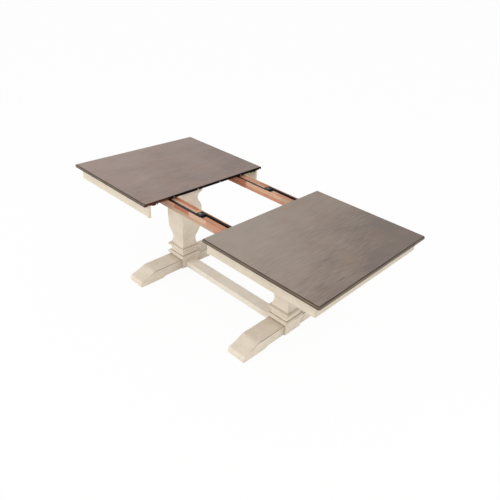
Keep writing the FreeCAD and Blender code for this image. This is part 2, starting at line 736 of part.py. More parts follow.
def foot(sign):
    """Foot with an ogee over the toe and a raised underside."""
    half = POST_WIDTH / 2
    pad = GLIDE_HEIGHT
    bend = quarter_round_inset(FOOT_TOE_ROUND)
    over = [("arc", *FOOT_ROLL_SHARES), ("arc", *FOOT_SCOOP_SHARES), ("arc", *FOOT_NOSE_SHARES)]
    steps = [("line", (FOOT_FLAT_SHARE * FOOT_REACH, FOOT_HEIGHT))]
    steps += sized(over, FOOT_REACH, FOOT_HEIGHT)
    steps += [
        ("line", (FOOT_REACH, pad + FOOT_TOE_ROUND)),
        ("arc", (FOOT_REACH - bend, pad + bend), (FOOT_REACH - FOOT_TOE_ROUND, pad)),
        ("line", (FOOT_PAD_SHARE * FOOT_REACH, pad)),
    ]
    steps += ogee((FOOT_PAD_SHARE * FOOT_REACH, pad), (FOOT_ARCH_SHARE * FOOT_REACH, POST_FLOOR_GAP))
    steps.append(("line", (0, POST_FLOOR_GAP)))
    face = outline_face((0, FOOT_HEIGHT), steps,
                        lambda u, v: FreeCAD.Vector(-FOOT_WIDTH / 2, sign * (half + u), v))
    return face.extrude(ALONG * FOOT_WIDTH)


def glides():
    """Thin nylon glides under a pedestal's toes."""
    toe = POST_WIDTH / 2 + FOOT_REACH
    return [bar(GLIDE_RADIUS, (0, sign * (toe - GLIDE_FROM_TOE), 0), UP, GLIDE_HEIGHT)
            for side, sign in SIDES]


# Stretcher


def stretcher_studs(ease):
    """Stud from each post into the stretcher, or their holes when eased."""
    face = PEDESTAL_X - POST_WIDTH / 2
    length = STUD_BOLT_IN_POST + STUD_BOLT_GRIP
    return group([
        bar(STUD_BOLT_RADIUS + ease, (sign * (face + STUD_BOLT_IN_POST), 0, STRETCHER_MID),
            ALONG * -sign, length)
        for end, sign in ENDS
    ])


def stretcher():
    """Rail between the posts, chamfered along its upper edges."""
    length = PEDESTAL_SPREAD - POST_WIDTH
    beam = block(spread(length), spread(STRETCHER_WIDTH), (STRETCHER_FLOOR_GAP, STRETCHER_TOP))
    upper = edges_where(beam, lambda at: at.z > STRETCHER_TOP - STRETCHER_CHAMFER and abs(at.x) < OVERRUN)
    return beam.makeChamfer(STRETCHER_CHAMFER, upper).cut(stretcher_studs(BORE_GAP))


# The whole table


def base_pieces():
    """Pieces that stand still: pedestals, stretcher, beams and the middles of the slides."""
    pieces = {}
    pads = []
    for end, sign in ENDS:
        out = ALONG * (sign * PEDESTAL_X)
        pieces[end + "_post_block"] = post_block(-sign).translated(out)
        pieces[end + "_base_moulding"] = base_moulding().translated(out)
        pieces[end + "_column"] = column().translated(out)
        pieces[end + "_cap_plate"] = cap_plate().translated(out)
        pieces[end + "_cross_beam"] = cross_beam().translated(out)
        for side, facing in SIDES:
            pieces[end + "_" + side + "_foot"] = foot(facing).translated(out)
        pads += [pad.translated(out) for pad in glides()]
    pieces["foot_glides"] = group(pads)
    pieces["stretcher"] = stretcher()
    pieces["stretcher_studs"] = stretcher_studs(0)
    for side, sign in SIDES:
        pieces[side + "_centre_slide"] = centre_slide(sign * SLIDE_Y)
        pieces[side + "_pinion_bracket"] = pinion_bracket(sign * SLIDE_Y)
        pieces[side + "_pinion_axle"] = pinion_axle(sign * SLIDE_Y)
    return pieces


def half_pieces(end):
    """Pieces that both halves share, named for one end and still in the left half's place."""
    names = ("near", "far") if end == "left" else ("far", "near")
    pieces = {
        end + "_end_apron": end_apron(),
        end + "_corner_blocks": corner_blocks(),
        end + "_battens": battens(),
    }
    for name, sign in zip(names, (-1, 1)):
        pieces[end + "_" + name + "_apron"] = side_apron(sign)
        pieces[end + "_" + name + "_rail"] = rail(sign * SLIDE_Y)
        pieces[end + "_" + name + "_rack"] = rack(sign * SLIDE_Y)
    return pieces


def table_pieces():
    """Every piece of the table by name."""
    pieces = base_pieces()
    pieces.update(half_pieces("left"))
    pieces["left_top"] = top_board(PIN_SHANK_RADIUS + BORE_GAP, PIN_DEPTH)
    pieces["alignment_pins"] = alignment_pins()
    pieces["latch_plates"] = latch_plates()
    for side, sign in SIDES:
        pieces[side + "_latch_lever"] = latch_lever(sign)
        pieces[side + "_pinion"] = pinion(sign * SLIDE_Y)
    right = half_pieces("right")
    right["right_top"] = top_board(SOCKET_RADIUS, SOCKET_DEPTH)
    pieces.update({name: turned(shape) for name, shape in right.items()})
    pieces["latch_keepers"] = latch_keepers()
    return pieces


os.makedirs("parts", exist_ok=True)
for name, shape in sorted(table_pieces().items()):
    assert shape.isValid(), name
    shape.exportStep("parts/" + name + ".step")
    print(name, len(shape.Solids), round(shape.Volume))
print("travel of each half", round(TRAVEL, 3))
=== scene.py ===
"""Looks of an extending dining table, built around its packed construction model.

The table stands with its two top halves drawn apart. The tops are veneered and stained grey-brown,
the base and the aprons are cream paint with a brown glaze, and the equaliser slides are bare
finger-jointed hardwood with black racks. All places are in metres in the frame of the model.
"""

import json
import logging
import math
from dataclasses import dataclass, field
from enum import Enum
from typing import Mapping, Sequence, Union

import bmesh
import bpy
from mathutils import Euler, Matrix, Vector

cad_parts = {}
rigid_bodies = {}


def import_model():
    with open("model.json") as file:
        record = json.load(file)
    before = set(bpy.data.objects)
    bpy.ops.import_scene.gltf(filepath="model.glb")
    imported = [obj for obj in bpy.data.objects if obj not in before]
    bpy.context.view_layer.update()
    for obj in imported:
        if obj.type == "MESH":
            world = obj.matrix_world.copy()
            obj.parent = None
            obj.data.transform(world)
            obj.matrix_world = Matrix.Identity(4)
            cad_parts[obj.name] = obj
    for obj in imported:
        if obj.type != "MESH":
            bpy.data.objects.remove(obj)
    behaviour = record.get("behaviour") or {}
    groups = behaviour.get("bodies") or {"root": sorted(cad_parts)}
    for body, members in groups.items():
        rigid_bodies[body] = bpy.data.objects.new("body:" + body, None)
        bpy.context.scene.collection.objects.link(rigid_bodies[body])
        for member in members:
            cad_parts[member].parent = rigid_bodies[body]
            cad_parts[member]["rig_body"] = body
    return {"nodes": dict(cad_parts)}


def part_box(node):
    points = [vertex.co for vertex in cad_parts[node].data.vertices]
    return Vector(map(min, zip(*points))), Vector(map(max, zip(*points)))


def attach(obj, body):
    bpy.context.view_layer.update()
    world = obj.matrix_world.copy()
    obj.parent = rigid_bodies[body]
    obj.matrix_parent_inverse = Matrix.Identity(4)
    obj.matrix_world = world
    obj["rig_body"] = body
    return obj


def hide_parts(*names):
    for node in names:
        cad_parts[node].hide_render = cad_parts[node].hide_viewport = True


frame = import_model()

LOG = logging.getLogger("dining_table")
MM = 0.001

# Places of the sockets of Blender's Mix node for colours, which it names alike for each kind
MIX_FACTOR, MIX_A, MIX_B, MIX_COLOUR = 0, 6, 7, 2

Tree = bpy.types.NodeTree
Socket = bpy.types.NodeSocket
Piece = bpy.types.Object
Value = Union[Socket, float, int, bool, Sequence[float]]
Inputs = Mapping[Union[str, int], Value]
Colour = tuple[float, float, float, float]
Corners = tuple[Vector, Vector]
Pair = tuple[float, float]

WHITE: Colour = (1.0, 1.0, 1.0, 1.0)
UP, DOWN = Vector((0.0, 0.0, 1.0)), Vector((0.0, 0.0, -1.0))


class Axis(Enum):
    """An axis of the table, by its place in a vector."""

    ALONG = 0
    ACROSS = 1
    UP = 2


class Way(Enum):
    """A direction that the node names spell out."""

    @property
    def word(self) -> str:
        """The direction as the node names spell it."""
        return self.name.lower()


class End(Way):
    """An end of the table and its direction along X."""

    LEFT = -1
    RIGHT = 1


class Side(Way):
    """A long side of the table and its direction along Y."""

    NEAR = -1
    FAR = 1


# Helpers


def linear(code: str) -> Colour:
    """Turn an sRGB hex code into Blender's linear colour.

    Args:
        code: Six hex digits, two for each of red, green and blue.

    Returns:
        The linear colour with full alpha.
    """
    shares = [int(code[place:place + 2], 16) / 255 for place in (0, 2, 4)]
    red, green, blue = [
        share / 12.92 if share <= 0.04045 else ((share + 0.055) / 1.055) ** 2.4 for share in shares
    ]
    return red, green, blue, 1.0


def add_node(tree: Tree, kind: str, inputs: Inputs | None = None, **settings: object) -> bpy.types.Node:
    """Add a node with its settings, values and links.

    Args:
        tree: The node tree that gets the node.
        kind: The node's type, as Blender spells it.
        inputs: A value or a socket for each input, by its name or its place.
        settings: Properties of the node.

    Returns:
        The new node.
    """
    node = tree.nodes.new(kind)
    for name, value in settings.items():
        setattr(node, name, value)
    for key, value in (inputs or {}).items():
        if isinstance(value, Socket):
            tree.links.new(value, node.inputs[key])
        else:
            node.inputs[key].default_value = value
    return node


def result(tree: Tree, kind: str, inputs: Inputs | None = None, **settings: object) -> Socket:
    """Add a node as add_node does and return its first output."""
    return add_node(tree, kind, inputs, **settings).outputs[0]


def maths(tree: Tree, operation: str, *values: Value) -> Socket:
    """Return the result of an operation on numbers, named as Blender spells it."""
    return result(tree, "ShaderNodeMath", dict(enumerate(values)), operation=operation)


def vector_maths(tree: Tree, operation: str, *values: Value) -> Socket:
    """Return the vector that an operation on vectors gives, named as Blender spells it."""
    return result(tree, "ShaderNodeVectorMath", dict(enumerate(values)), operation=operation)


def vector(tree: Tree, **parts: Value) -> Socket:
    """Return a vector made of the given X, Y and Z parts."""
    return result(tree, "ShaderNodeCombineXYZ", parts)


def parts_of(tree: Tree, whole: Socket) -> bpy.types.bpy_prop_collection:
    """Return a vector's X, Y and Z sockets."""
    return add_node(tree, "ShaderNodeSeparateXYZ", {"Vector": whole}).outputs


def object_place(tree: Tree) -> Socket:
    """Return the place on the object in metres, which is the place in the table's frame."""
    return add_node(tree, "ShaderNodeTexCoord").outputs["Object"]


def spread(tree: Tree, value: Value, start: float, end: float, low: float = 0.0, high: float = 1.0,
           curve: str = "LINEAR") -> Socket:
    """Return a value moved from the range start to end to the range low to high, and held there."""
    return result(tree, "ShaderNodeMapRange", {
        "Value": value, "From Min": start, "From Max": end, "To Min": low, "To Max": high,
    }, interpolation_type=curve)


def blend(tree: Tree, share: Value, first: Value, second: Value, kind: str = "MIX") -> Socket:
    """Return a colour that is the first at a share of 0 and, at 1, the second or what the kind makes."""
    return add_node(tree, "ShaderNodeMix", {MIX_FACTOR: share, MIX_A: first, MIX_B: second},
                    data_type="RGBA", blend_type=kind).outputs[MIX_COLOUR]


def either(tree: Tree, share: Socket, first: Socket, second: Socket) -> Socket:
    """Return a shader that is the first at a share of 0 and the second at 1."""
    return result(tree, "ShaderNodeMixShader", {0: share, 1: first, 2: second})


def ramp(tree: Tree, factor: Socket, stops: Sequence[tuple[float, Colour]], curve: str = "LINEAR") -> Socket:
    """Read a colour from stops.

    Args:
        tree: The material's tree.
        factor: Where to read.
        stops: Place and colour of each stop, in rising order.
        curve: How colours pass from stop to stop, as Blender spells it.

    Returns:
        The colour.
    """
    node = add_node(tree, "ShaderNodeValToRGB", {"Fac": factor})
    node.color_ramp.interpolation = curve
    elements = node.color_ramp.elements
    while len(elements) < len(stops):
        elements.new(1.0)
    for element, (place, colour) in zip(elements, stops):
        element.position = place
        element.color = colour
    return node.outputs["Color"]


def principled(tree: Tree, colour: Value, roughness: Value, others: Inputs) -> Socket:
    """Return a surface shader with its base colour, its roughness and other inputs by their names."""
    return result(tree, "ShaderNodeBsdfPrincipled", {"Base Color": colour, "Roughness": roughness, **others})


def relief(tree: Tree, height: Value, strength: float, depth: float) -> Socket:
    """Return the direction of a surface that has a fine relief, with its depth in metres."""
    return result(tree, "ShaderNodeBump", {"Height": height, "Strength": strength, "Distance": depth})


def long_cell(width: float, length: float, axis: Axis) -> list[float]:
    """Return the size of a pattern's cell that is long along one axis, in millimetres."""
    return [length if along is axis else width for along in Axis]


def new_object(name: str, data: bpy.types.ID) -> Piece:
    """Put a mesh, a lamp or a camera in the scene as an object at the origin.

    Args:
        name: Name of the object.
        data: What it shows.

    Returns:
        The object.
    """
    piece = bpy.data.objects.new(name, data)
    bpy.context.scene.collection.objects.link(piece)
    return piece


def made_plain(piece: Piece) -> Piece:
    """Turn an object's modifiers into its plain mesh.

    Args:
        piece: The object with live modifiers.

    Returns:
        The same object with the finished mesh and no modifiers.
    """
    seen = piece.evaluated_get(bpy.context.evaluated_depsgraph_get())
    mesh = bpy.data.meshes.new_from_object(seen)
    piece.modifiers.clear()
    piece.data = mesh
    return piece


def set_in(piece: Piece, node: str) -> Piece:
    """Let a finished piece stand for a node of the model, on its body.

    Args:
        piece: The finished piece.
        node: Name of the node that it stands for.

    Returns:
        The piece.
    """
    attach(piece, frame["nodes"][node]["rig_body"])
    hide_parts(node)
    return piece


# Finishes


@dataclass(frozen=True)
class Finish:
    """A finish that makes its material once."""

    name: str
    seed: float = field(default=0.0, kw_only=True)

    def material(self) -> bpy.types.Material:
        """Make the finish's material, or find it if it is made.

        Returns:
            The material.
        """
        made = bpy.data.materials.get(self.name)
        if made is None:
            made = bpy.data.materials.new(self.name)
            made.use_nodes = True
            made.node_tree.nodes.clear()
            surface = self.surface(made.node_tree)
            add_node(made.node_tree, "ShaderNodeOutputMaterial", {"Surface": surface})
        return made

    def surface(self, tree: Tree) -> Socket:
        """Build the finish's nodes and return its shader."""
        raise NotImplementedError

    def dress(self, node: str) -> Piece:
        """Give the finish to a node of the construction model.

        Args:
            node: Name of the node.

        Returns:
            The node's object.
        """
        piece = frame["nodes"][node]
        if piece.material_slots:
            piece.material_slots[0].material = self.material()
        else:
            piece.data.materials.append(self.material())
        return piece

    def grain(self, tree: Tree, cell: Sequence[float], shift: float = 0.0, detail: float = 2.0) -> Socket:
        """Return a noise whose cells have a real size along each axis.

        Args:
            tree: The material's tree.
            cell: Size of one cell along X, Y and Z, in millimetres.
            shift: Shift from the finish's seed, which makes one pattern unlike another.
            detail: Number of finer layers.

        Returns:
            The noise, from 0 to 1.
        """
        mapped = result(tree, "ShaderNodeMapping", {
            "Vector": object_place(tree), "Location": [self.seed + shift] * 3,
            "Scale": [1 / (size * MM) for size in cell],
        })
        return result(tree, "ShaderNodeTexNoise", {
            "Vector": mapped, "Scale": 1.0, "Detail": detail, "Roughness": 0.55,
        })


@dataclass(frozen=True)
class StainedVeneer(Finish):
    """Rubberwood veneer with a grey-brown wiped stain under satin lacquer.

    The stain lies in fine streaks across the table, and the moulded edge keeps a dark glaze that is
    rubbed through to a golden tone, with painted shade low on the edge and a painted shadow in the
    quirk of its step. The edge at the gap has a dark matt stain and no lacquer.
    """

    pale: str = "A3978B"
    even: str = "948679"
    deep: str = "7C6D62"
    warm: str = "9A7D6A"
    glaze: str = "5A4B3E"
    rubbed: str = "7C6A4A"
    # The next three colours are painted shade on the lower roundover and the underside, and a painted shadow
    # in the quirk of the step
    under_shade: str = "4A4038"
    round_shade: str = "9C9288"
    ledge_shade: str = "8A7F75"
    gap_tone: str = "160F0C"
    gap_bare: str = "4E2F20"
    # Pores and streaks are drawn several times coarser than real ones, so that they show
    pore_cell: tuple[float, ...] = (1.8, 60.0, 1.8)
    streak_cell: tuple[float, ...] = (5.5, 95.0, 5.5)
    cloud_cell: tuple[float, ...] = (170.0, 260.0, 170.0)
    patch_cell: tuple[float, ...] = (120.0, 180.0, 120.0)
    wear_cell: tuple[float, ...] = (160.0, 160.0, 5.0)
    tones: Pair = (0.63, 1.37)
    sheen: Pair = (0.36, 0.48)
    specular: float = 0.45
    pore_relief: Pair = (0.12, 0.3 * MM)
    warm_share: float = 0.42
    middle: float = 0.6731
    # Painted light: the stain darkens along X and across Y by these slopes, as light falls off away from the
    # lamps
    fade: float = 0.0
    fade_across: float = 0.0
    field_height: float = 0.762
    under_height: float = 0.74295
    step: float = 1.5 * MM
    gap_edge: float = 0.2667
    thin_from: float = -0.33
    thin_run: float = 30 * MM
    gap_roughness: float = 0.85
    gap_specular: float = 0.08

    def surface(self, tree: Tree) -> Socket:
        """Build the stained wood.

        Args:
            tree: The material's tree.

        Returns:
            The shader.
        """
        pores = self.grain(tree, self.pore_cell, 0.0, 3.0)
        streaks = self.grain(tree, self.streak_cell, 3.1, 4.0)
        clouds = self.grain(tree, self.cloud_cell, 7.7)
        tone = maths(tree, "MULTIPLY_ADD", clouds, 0.5, maths(tree, "MULTIPLY_ADD", pores, 0.5, streaks))
        # A painted light falloff across the board, centred on its middle
        painted_light_falloff = add_node(tree, "ShaderNodeVectorMath", {
            0: object_place(tree), 1: (self.fade, self.fade_across, 0.0),
        }, operation="DOT_PRODUCT").outputs["Value"]
        low, high = (end + self.fade * self.middle for end in self.tones)
        wood = ramp(tree, spread(tree, maths(tree, "ADD", painted_light_falloff, tone), low, high), [
            (0.0, linear(self.deep)), (0.5, linear(self.even)), (1.0, linear(self.pale)),
        ])
        patches = spread(tree, self.grain(tree, self.patch_cell, 11.0), 0.5, 0.8, 0.0, self.warm_share)
        colour = self.edge(tree, blend(tree, patches, wood, linear(self.warm)))
        lacquered = principled(tree, colour, spread(tree, streaks, 0.3, 0.7, *self.sheen), {
            "Specular IOR Level": self.specular, "Normal": relief(tree, pores, *self.pore_relief),
        })
        from_middle = maths(tree, "ABSOLUTE", parts_of(tree, object_place(tree))["X"])
        at_gap = maths(tree, "LESS_THAN", from_middle, self.gap_edge + 0.2 * MM)
        return either(tree, at_gap, lacquered, self.gap_face(tree))

    def edge(self, tree: Tree, wood: Socket) -> Socket:
        """Lay the dark glaze over the moulded edge and the underside, with painted shade on the lower
        roundover and the underside and a painted shadow in the quirk of the step.

        Args:
            tree: The material's tree.
            wood: Colour of the field.

        Returns:
            The colour of the whole board.
        """
        height = parts_of(tree, object_place(tree))["Z"]
        wear = self.grain(tree, self.wear_cell, 19.0)
        band = blend(tree, spread(tree, wear, 0.48, 0.66), linear(self.glaze), linear(self.rubbed))
        ledge = 1 - self.step / (self.field_height - self.under_height)
        # Painted shade low on the edge and under it, and a painted shadow in the quirk of the step
        lines = ramp(tree, spread(tree, height, self.under_height, self.field_height), [
            (0.0, linear(self.under_shade)), (0.25, linear(self.round_shade)), (0.55, WHITE),
            (ledge - 0.12, WHITE), (ledge, linear(self.ledge_shade)), (1.0, WHITE),
        ])
        below = maths(tree, "LESS_THAN", height, self.field_height - 0.25 * MM)
        return blend(tree, below, wood, blend(tree, 1.0, band, lines, "MULTIPLY"))

    def gap_face(self, tree: Tree) -> Socket:
        """Build the edge at the gap, where the stain is thin and redder low down near one corner.

        Args:
            tree: The material's tree.

        Returns:
            The shader of the face.
        """
        parts = parts_of(tree, object_place(tree))
        near_end = spread(tree, parts["Y"], self.thin_from, self.thin_from - self.thin_run)
        height = self.field_height - self.under_height
        lower = spread(tree, parts["Z"], self.under_height + 0.85 * height, self.under_height + 0.7 * height)
        thin = maths(tree, "MULTIPLY", near_end, lower)
        stain = blend(tree, thin, linear(self.gap_tone), linear(self.gap_bare))
        return principled(tree, stain, self.gap_roughness, {"Specular IOR Level": self.gap_specular})


@dataclass(frozen=True)
class Crease:
    """A line across one axis where glaze gathers, on both sides of the table's middle; a wide one on the feet
    is painted shade with some glaze.

    It is drawn about twice as wide as a real one, so that it shows from across a room.
    """

    axis: Axis
    place: float
    width: float
    strength: float = 1.0
    solid_share: float = 0.0


@dataclass(frozen=True)
class GlazedPaint(Finish):
    """Cream lacquer paint over hardwood with a brown glaze wiped into its grain and creases.

    The glaze leaves faint strokes along each piece and gathers as thin dark lines.
    """

    paint: str = "E9DDCB"
    shade: str = "DCCEBA"
    glaze: str = "7E6A52"
    stroke: Axis = Axis.UP
    creases: tuple[Crease, ...] = ()
    least_gathered: float = 0.35
    most_gathered: float = 0.9
    # The strokes are drawn about three times wider than real ones
    stroke_size: Pair = (3.2, 130.0)
    cloud: float = 55.0
    patch: float = 30.0
    roughness: float = 0.46
    specular: float = 0.4
    stroke_relief: Pair = (0.15, 0.25 * MM)

    def surface(self, tree: Tree) -> Socket:
        """Build the painted wood.

        Args:
            tree: The material's tree.

        Returns:
            The shader.
        """
        strokes = self.grain(tree, long_cell(*self.stroke_size, self.stroke), 0.0, 3.0)
        tone = maths(tree, "MULTIPLY_ADD", self.grain(tree, [self.cloud] * 3, 5.0), 0.8, strokes)
        coat = ramp(tree, spread(tree, tone, 0.6, 1.15), [
            (0.0, linear(self.shade)), (0.75, linear(self.paint)),
        ])
        colour = blend(tree, self.gathered(tree), coat, linear(self.glaze))
        return principled(tree, colour, self.roughness, {
            "Specular IOR Level": self.specular, "Normal": relief(tree, strokes, *self.stroke_relief),
        })

    def gathered(self, tree: Tree) -> Socket:
        """Return how much glaze lies at each point.

        Args:
            tree: The material's tree.

        Returns:
            The share of glaze, from 0 to 1.
        """
        parts = parts_of(tree, vector_maths(tree, "ABSOLUTE", object_place(tree)))
        patches = self.grain(tree, [self.patch] * 3, 9.0)
        patchy = spread(tree, patches, 0.3, 0.6, self.least_gathered, self.most_gathered)
        lines = result(tree, "ShaderNodeValue")
        lines.default_value = 0.0
        for crease in self.creases:
            away = maths(tree, "ABSOLUTE", maths(tree, "SUBTRACT", parts[crease.axis.value], crease.place))
            line = spread(tree, away, crease.width * crease.solid_share, crease.width, crease.strength, 0.0,
                          "SMOOTHSTEP")
            lines = maths(tree, "MAXIMUM", lines, line)
        return maths(tree, "MULTIPLY", lines, patchy)


@dataclass(frozen=True)
class ThinningGlaze(GlazedPaint):
    """Brown glaze left along a foot's arrises, full beside the post and rubbed away at the toe."""

    bare: str = "D9CBB3"
    full_to: float = 0.30
    gone_from: float = 0.40

    def surface(self, tree: Tree) -> Socket:
        """Build the glaze over the paint.

        Args:
            tree: The material's tree.

        Returns:
            The shader.
        """
        glazed = super().surface(tree)
        worn = GlazedPaint("bare_arris", self.bare, self.bare, self.glaze, self.stroke).surface(tree)
        across = maths(tree, "ABSOLUTE", parts_of(tree, object_place(tree))["Y"])
        return either(tree, spread(tree, across, self.full_to, self.gone_from), glazed, worn)


class Tone(Enum):
    """Tone of a block of slide wood, by its field in the finish."""

    PALE = "pale"
    SALMON = "salmon"
    RED = "red"
    DULL = "dull"


Blocks = tuple[tuple[float, Tone], ...]


@dataclass(frozen=True)
class JointedHardwood(Finish):
    """Bare hardwood glued up from short blocks with finger joints, waxed so that it slides.

    Each block has its own tone between pale sapwood and red heartwood, with straight fine grain.
    Dark grease and painted shadow of the racks' grooves lie round the racks, and a painted shadow line runs
    beside the wall of each rebate.
    """

    pale: str = "D4A98B"
    salmon: str = "C88E70"
    red: str = "AE6A4D"
    dull: str = "BE9E84"
    # The worn colour is painted shadow: the dark line beside the wall of each rebate
    worn: str = "984E2E"
    grease: str = "17110E"
    # Fingers are drawn about twice as wide as real ones, and the grain about four times coarser
    finger: float = 9.0 * MM
    finger_slope: float = 1.4
    pore_cell: tuple[float, ...] = (70.0, 1.3, 1.3)
    ring_cell: tuple[float, ...] = (190.0, 6.0, 6.0)
    shades: Pair = (0.66, 1.2)
    roughness: float = 0.42
    specular: float = 0.4
    pore_relief: Pair = (0.2, 0.2 * MM)
    # The painted shadow line beside the wall of each rebate is drawn twice as wide as a real one
    worn_line: Pair = (1.8 * MM, 3.6 * MM)
    worn_share: float = 0.8
    slide_place: float = 0.3125
    rebate_wall: float = 33.9 * MM
    greased: tuple[Corners, ...] = ()
    creep: float = 0.4 * MM
    lower: Blocks = ()
    upper: Blocks = ()
    glue_line: float = 0.716
    first: float = -1.0

    def surface(self, tree: Tree) -> Socket:
        """Build the block-jointed wood.

        Args:
            tree: The material's tree.

        Returns:
            The shader.
        """
        parts = parts_of(tree, object_place(tree))
        teeth = maths(tree, "PINGPONG", parts["Z"], self.finger)
        along = maths(tree, "MULTIPLY_ADD", teeth, self.finger_slope, parts["X"])
        pores = self.grain(tree, self.pore_cell, 0.0, 3.0)
        lines = maths(tree, "MULTIPLY_ADD", self.grain(tree, self.ring_cell, 4.0), 0.7, pores)
        shade = spread(tree, lines, 0.55, 1.15, *self.shades)
        colour = blend(tree, 1.0, self.chosen_blocks(tree, along, parts["Z"]), shade, "MULTIPLY")
        # A painted shadow line beside the wall of the rebate
        past_wall = maths(tree, "SUBTRACT", parts["Y"], self.slide_place - self.rebate_wall)
        rubbed = spread(tree, maths(tree, "ABSOLUTE", past_wall), *self.worn_line, self.worn_share, 0.0)
        colour = blend(tree, rubbed, colour, linear(self.worn))
        # Grease and painted shadow of the racks' grooves
        for low, high in self.greased:
            colour = blend(tree, self.inside(tree, low, high), colour, linear(self.grease))
        return principled(tree, colour, self.roughness, {
            "Specular IOR Level": self.specular, "Normal": relief(tree, pores, *self.pore_relief),
        })

    def chosen_blocks(self, tree: Tree, along: Socket, height: Socket) -> Socket:
        """Return the tones of blocks that are chosen one by one, in two laminations.

        Args:
            tree: The material's tree.
            along: Place along the table, with the finger joints' teeth in it.
            height: Height of the point.

        Returns:
            The colour of the block at each point.
        """
        share = spread(tree, along, self.first, -self.first)
        rows = []
        for row in (self.lower, self.upper):
            stops = [((start - self.first) / (-2 * self.first), linear(getattr(self, tone.value)))
                     for start, tone in row]
            rows.append(ramp(tree, share, stops, "CONSTANT"))
        return blend(tree, maths(tree, "GREATER_THAN", height, self.glue_line), *rows)

    def inside(self, tree: Tree, low: Vector, high: Vector) -> Socket:
        """Return where a rack's dark grease and painted groove shadow lie.

        Args:
            tree: The material's tree.
            low: Lowest corner of the greased place.
            high: Its highest corner.

        Returns:
            1 inside the place and 0 outside it.
        """
        from_middle = vector_maths(tree, "SUBTRACT", object_place(tree), (low + high) / 2)
        parts = parts_of(tree, vector_maths(tree, "ABSOLUTE", from_middle))
        reach = (high - low) / 2
        along, across, upright = (
            maths(tree, "LESS_THAN", parts[axis.value], reach[axis.value] + self.creep) for axis in Axis
        )
        return maths(tree, "MULTIPLY", maths(tree, "MULTIPLY", along, across), upright)


@dataclass(frozen=True)
class SawnHardwood(Finish):
    """Plain sawn hardwood of the hidden frame, left bare: straight grain and a dry surface."""

    pale: str = "D8BC94"
    deep: str = "B58F66"
    along: Axis = Axis.ACROSS
    # The grain is drawn about four times coarser than real grain
    line_size: Pair = (2.2, 110.0)
    roughness: float = 0.66
    saw_relief: Pair = (0.3, 0.3 * MM)

    def surface(self, tree: Tree) -> Socket:
        """Build the bare wood.

        Args:
            tree: The material's tree.

        Returns:
            The shader.
        """
        lines = self.grain(tree, long_cell(*self.line_size, self.along), 0.0, 3.0)
        colour = blend(tree, spread(tree, lines, 0.3, 0.7), linear(self.deep), linear(self.pale))
        return principled(tree, colour, self.roughness, {"Normal": relief(tree, lines, *self.saw_relief)})


@dataclass(frozen=True)
class FittingMetal(Finish):
    """Small metal fitting: a stamped or turned part with a fine dull grain from its plating."""

    colour: str = "B9BBBD"
    tint: str = "A2A4A8"
    metallic: float = 1.0
    roughness: float = 0.32
    # The plating's grit is drawn several times coarser than real
    grit: float = 1.2
    cloud: float = 14.0
    grit_relief: Pair = (0.1, 0.05 * MM)

    def surface(self, tree: Tree) -> Socket:
        """Build the metal.

        Args:
            tree: The material's tree.

        Returns:
            The shader.
        """
        speckle = self.grain(tree, [self.grit] * 3)
        clouds = self.grain(tree, [self.cloud] * 3, 2.0)
        dull = spread(tree, speckle, 0.3, 0.7, self.roughness - 0.06, self.roughness + 0.08)
        return principled(tree, blend(tree, clouds, linear(self.colour), linear(self.tint)), dull, {
            "Metallic": self.metallic, "Normal": relief(tree, speckle, *self.grit_relief),
        })


@dataclass(frozen=True)
class DippedSteel(FittingMetal):
    """Blackened steel lever whose finger tab was dipped in soft yellow-green vinyl, so that it shows."""

    vinyl: str = "A3A83C"
    vinyl_shade: str = "8E9636"
    vinyl_roughness: float = 0.35
    mottle: float = 3.0
    dip_height: float = 0.7375

    def surface(self, tree: Tree) -> Socket:
        """Build the steel and the vinyl below the dip's edge.

        Args:
            tree: The material's tree.

        Returns:
            The shader.
        """
        steel = super().surface(tree)
        mottled = self.grain(tree, [self.mottle] * 3)
        skin = blend(tree, mottled, linear(self.vinyl), linear(self.vinyl_shade))
        dipped = maths(tree, "LESS_THAN", parts_of(tree, object_place(tree))["Z"], self.dip_height)
        return either(tree, dipped, steel, principled(tree, skin, self.vinyl_roughness, {}))


@dataclass(frozen=True)
class MouldedNylon(Finish):
    """Injection moulded nylon of the glides: off-white, waxy and faintly mottled."""

    colour: str = "D9D5C8"
    shade: str = "C6C0B0"
    mottle: float = 9.0
    grit: float = 0.8
    roughness: float = 0.5
    glow_depth: float = 2 * MM
    grit_relief: Pair = (0.15, 0.05 * MM)

    def surface(self, tree: Tree) -> Socket:
        """Build the nylon.

        Args:
            tree: The material's tree.

        Returns:
            The shader.
        """
        colour = blend(tree, self.grain(tree, [self.mottle] * 3), linear(self.colour), linear(self.shade))
        return principled(tree, colour, self.roughness, {
            "Subsurface Weight": 0.1, "Subsurface Scale": self.glow_depth,
            "Normal": relief(tree, self.grain(tree, [self.grit] * 3), *self.grit_relief),
        })


BLACK_STEEL = FittingMetal("blackened_steel", "101013", "0A0A0C", 0.3, 0.5)
ZINC_STEEL = FittingMetal("zinc_plated_steel")
DIPPED_STEEL = DippedSteel("dipped_lever_steel", "101013", "0A0A0C", 0.3, 0.5)
# Near-white and barely metallic: the stop screws' glint is painted into their colour
GLINT_PAINTED_ZINC = FittingMetal("pale_zinc_screw", "F4F4F2", "E6E6E4", 0.15, 0.4)
NYLON = MouldedNylon("moulded_nylon")
ARRIS_GLAZE = GlazedPaint("glaze_on_the_arrises", "D8C9B0", "C2B093", "8C775C")
FOOT_GLAZE = ThinningGlaze("glaze_on_the_foot_arrises", "B09D83", "9A876D", "7E6A52")


# Shapes made by node trees and bevels


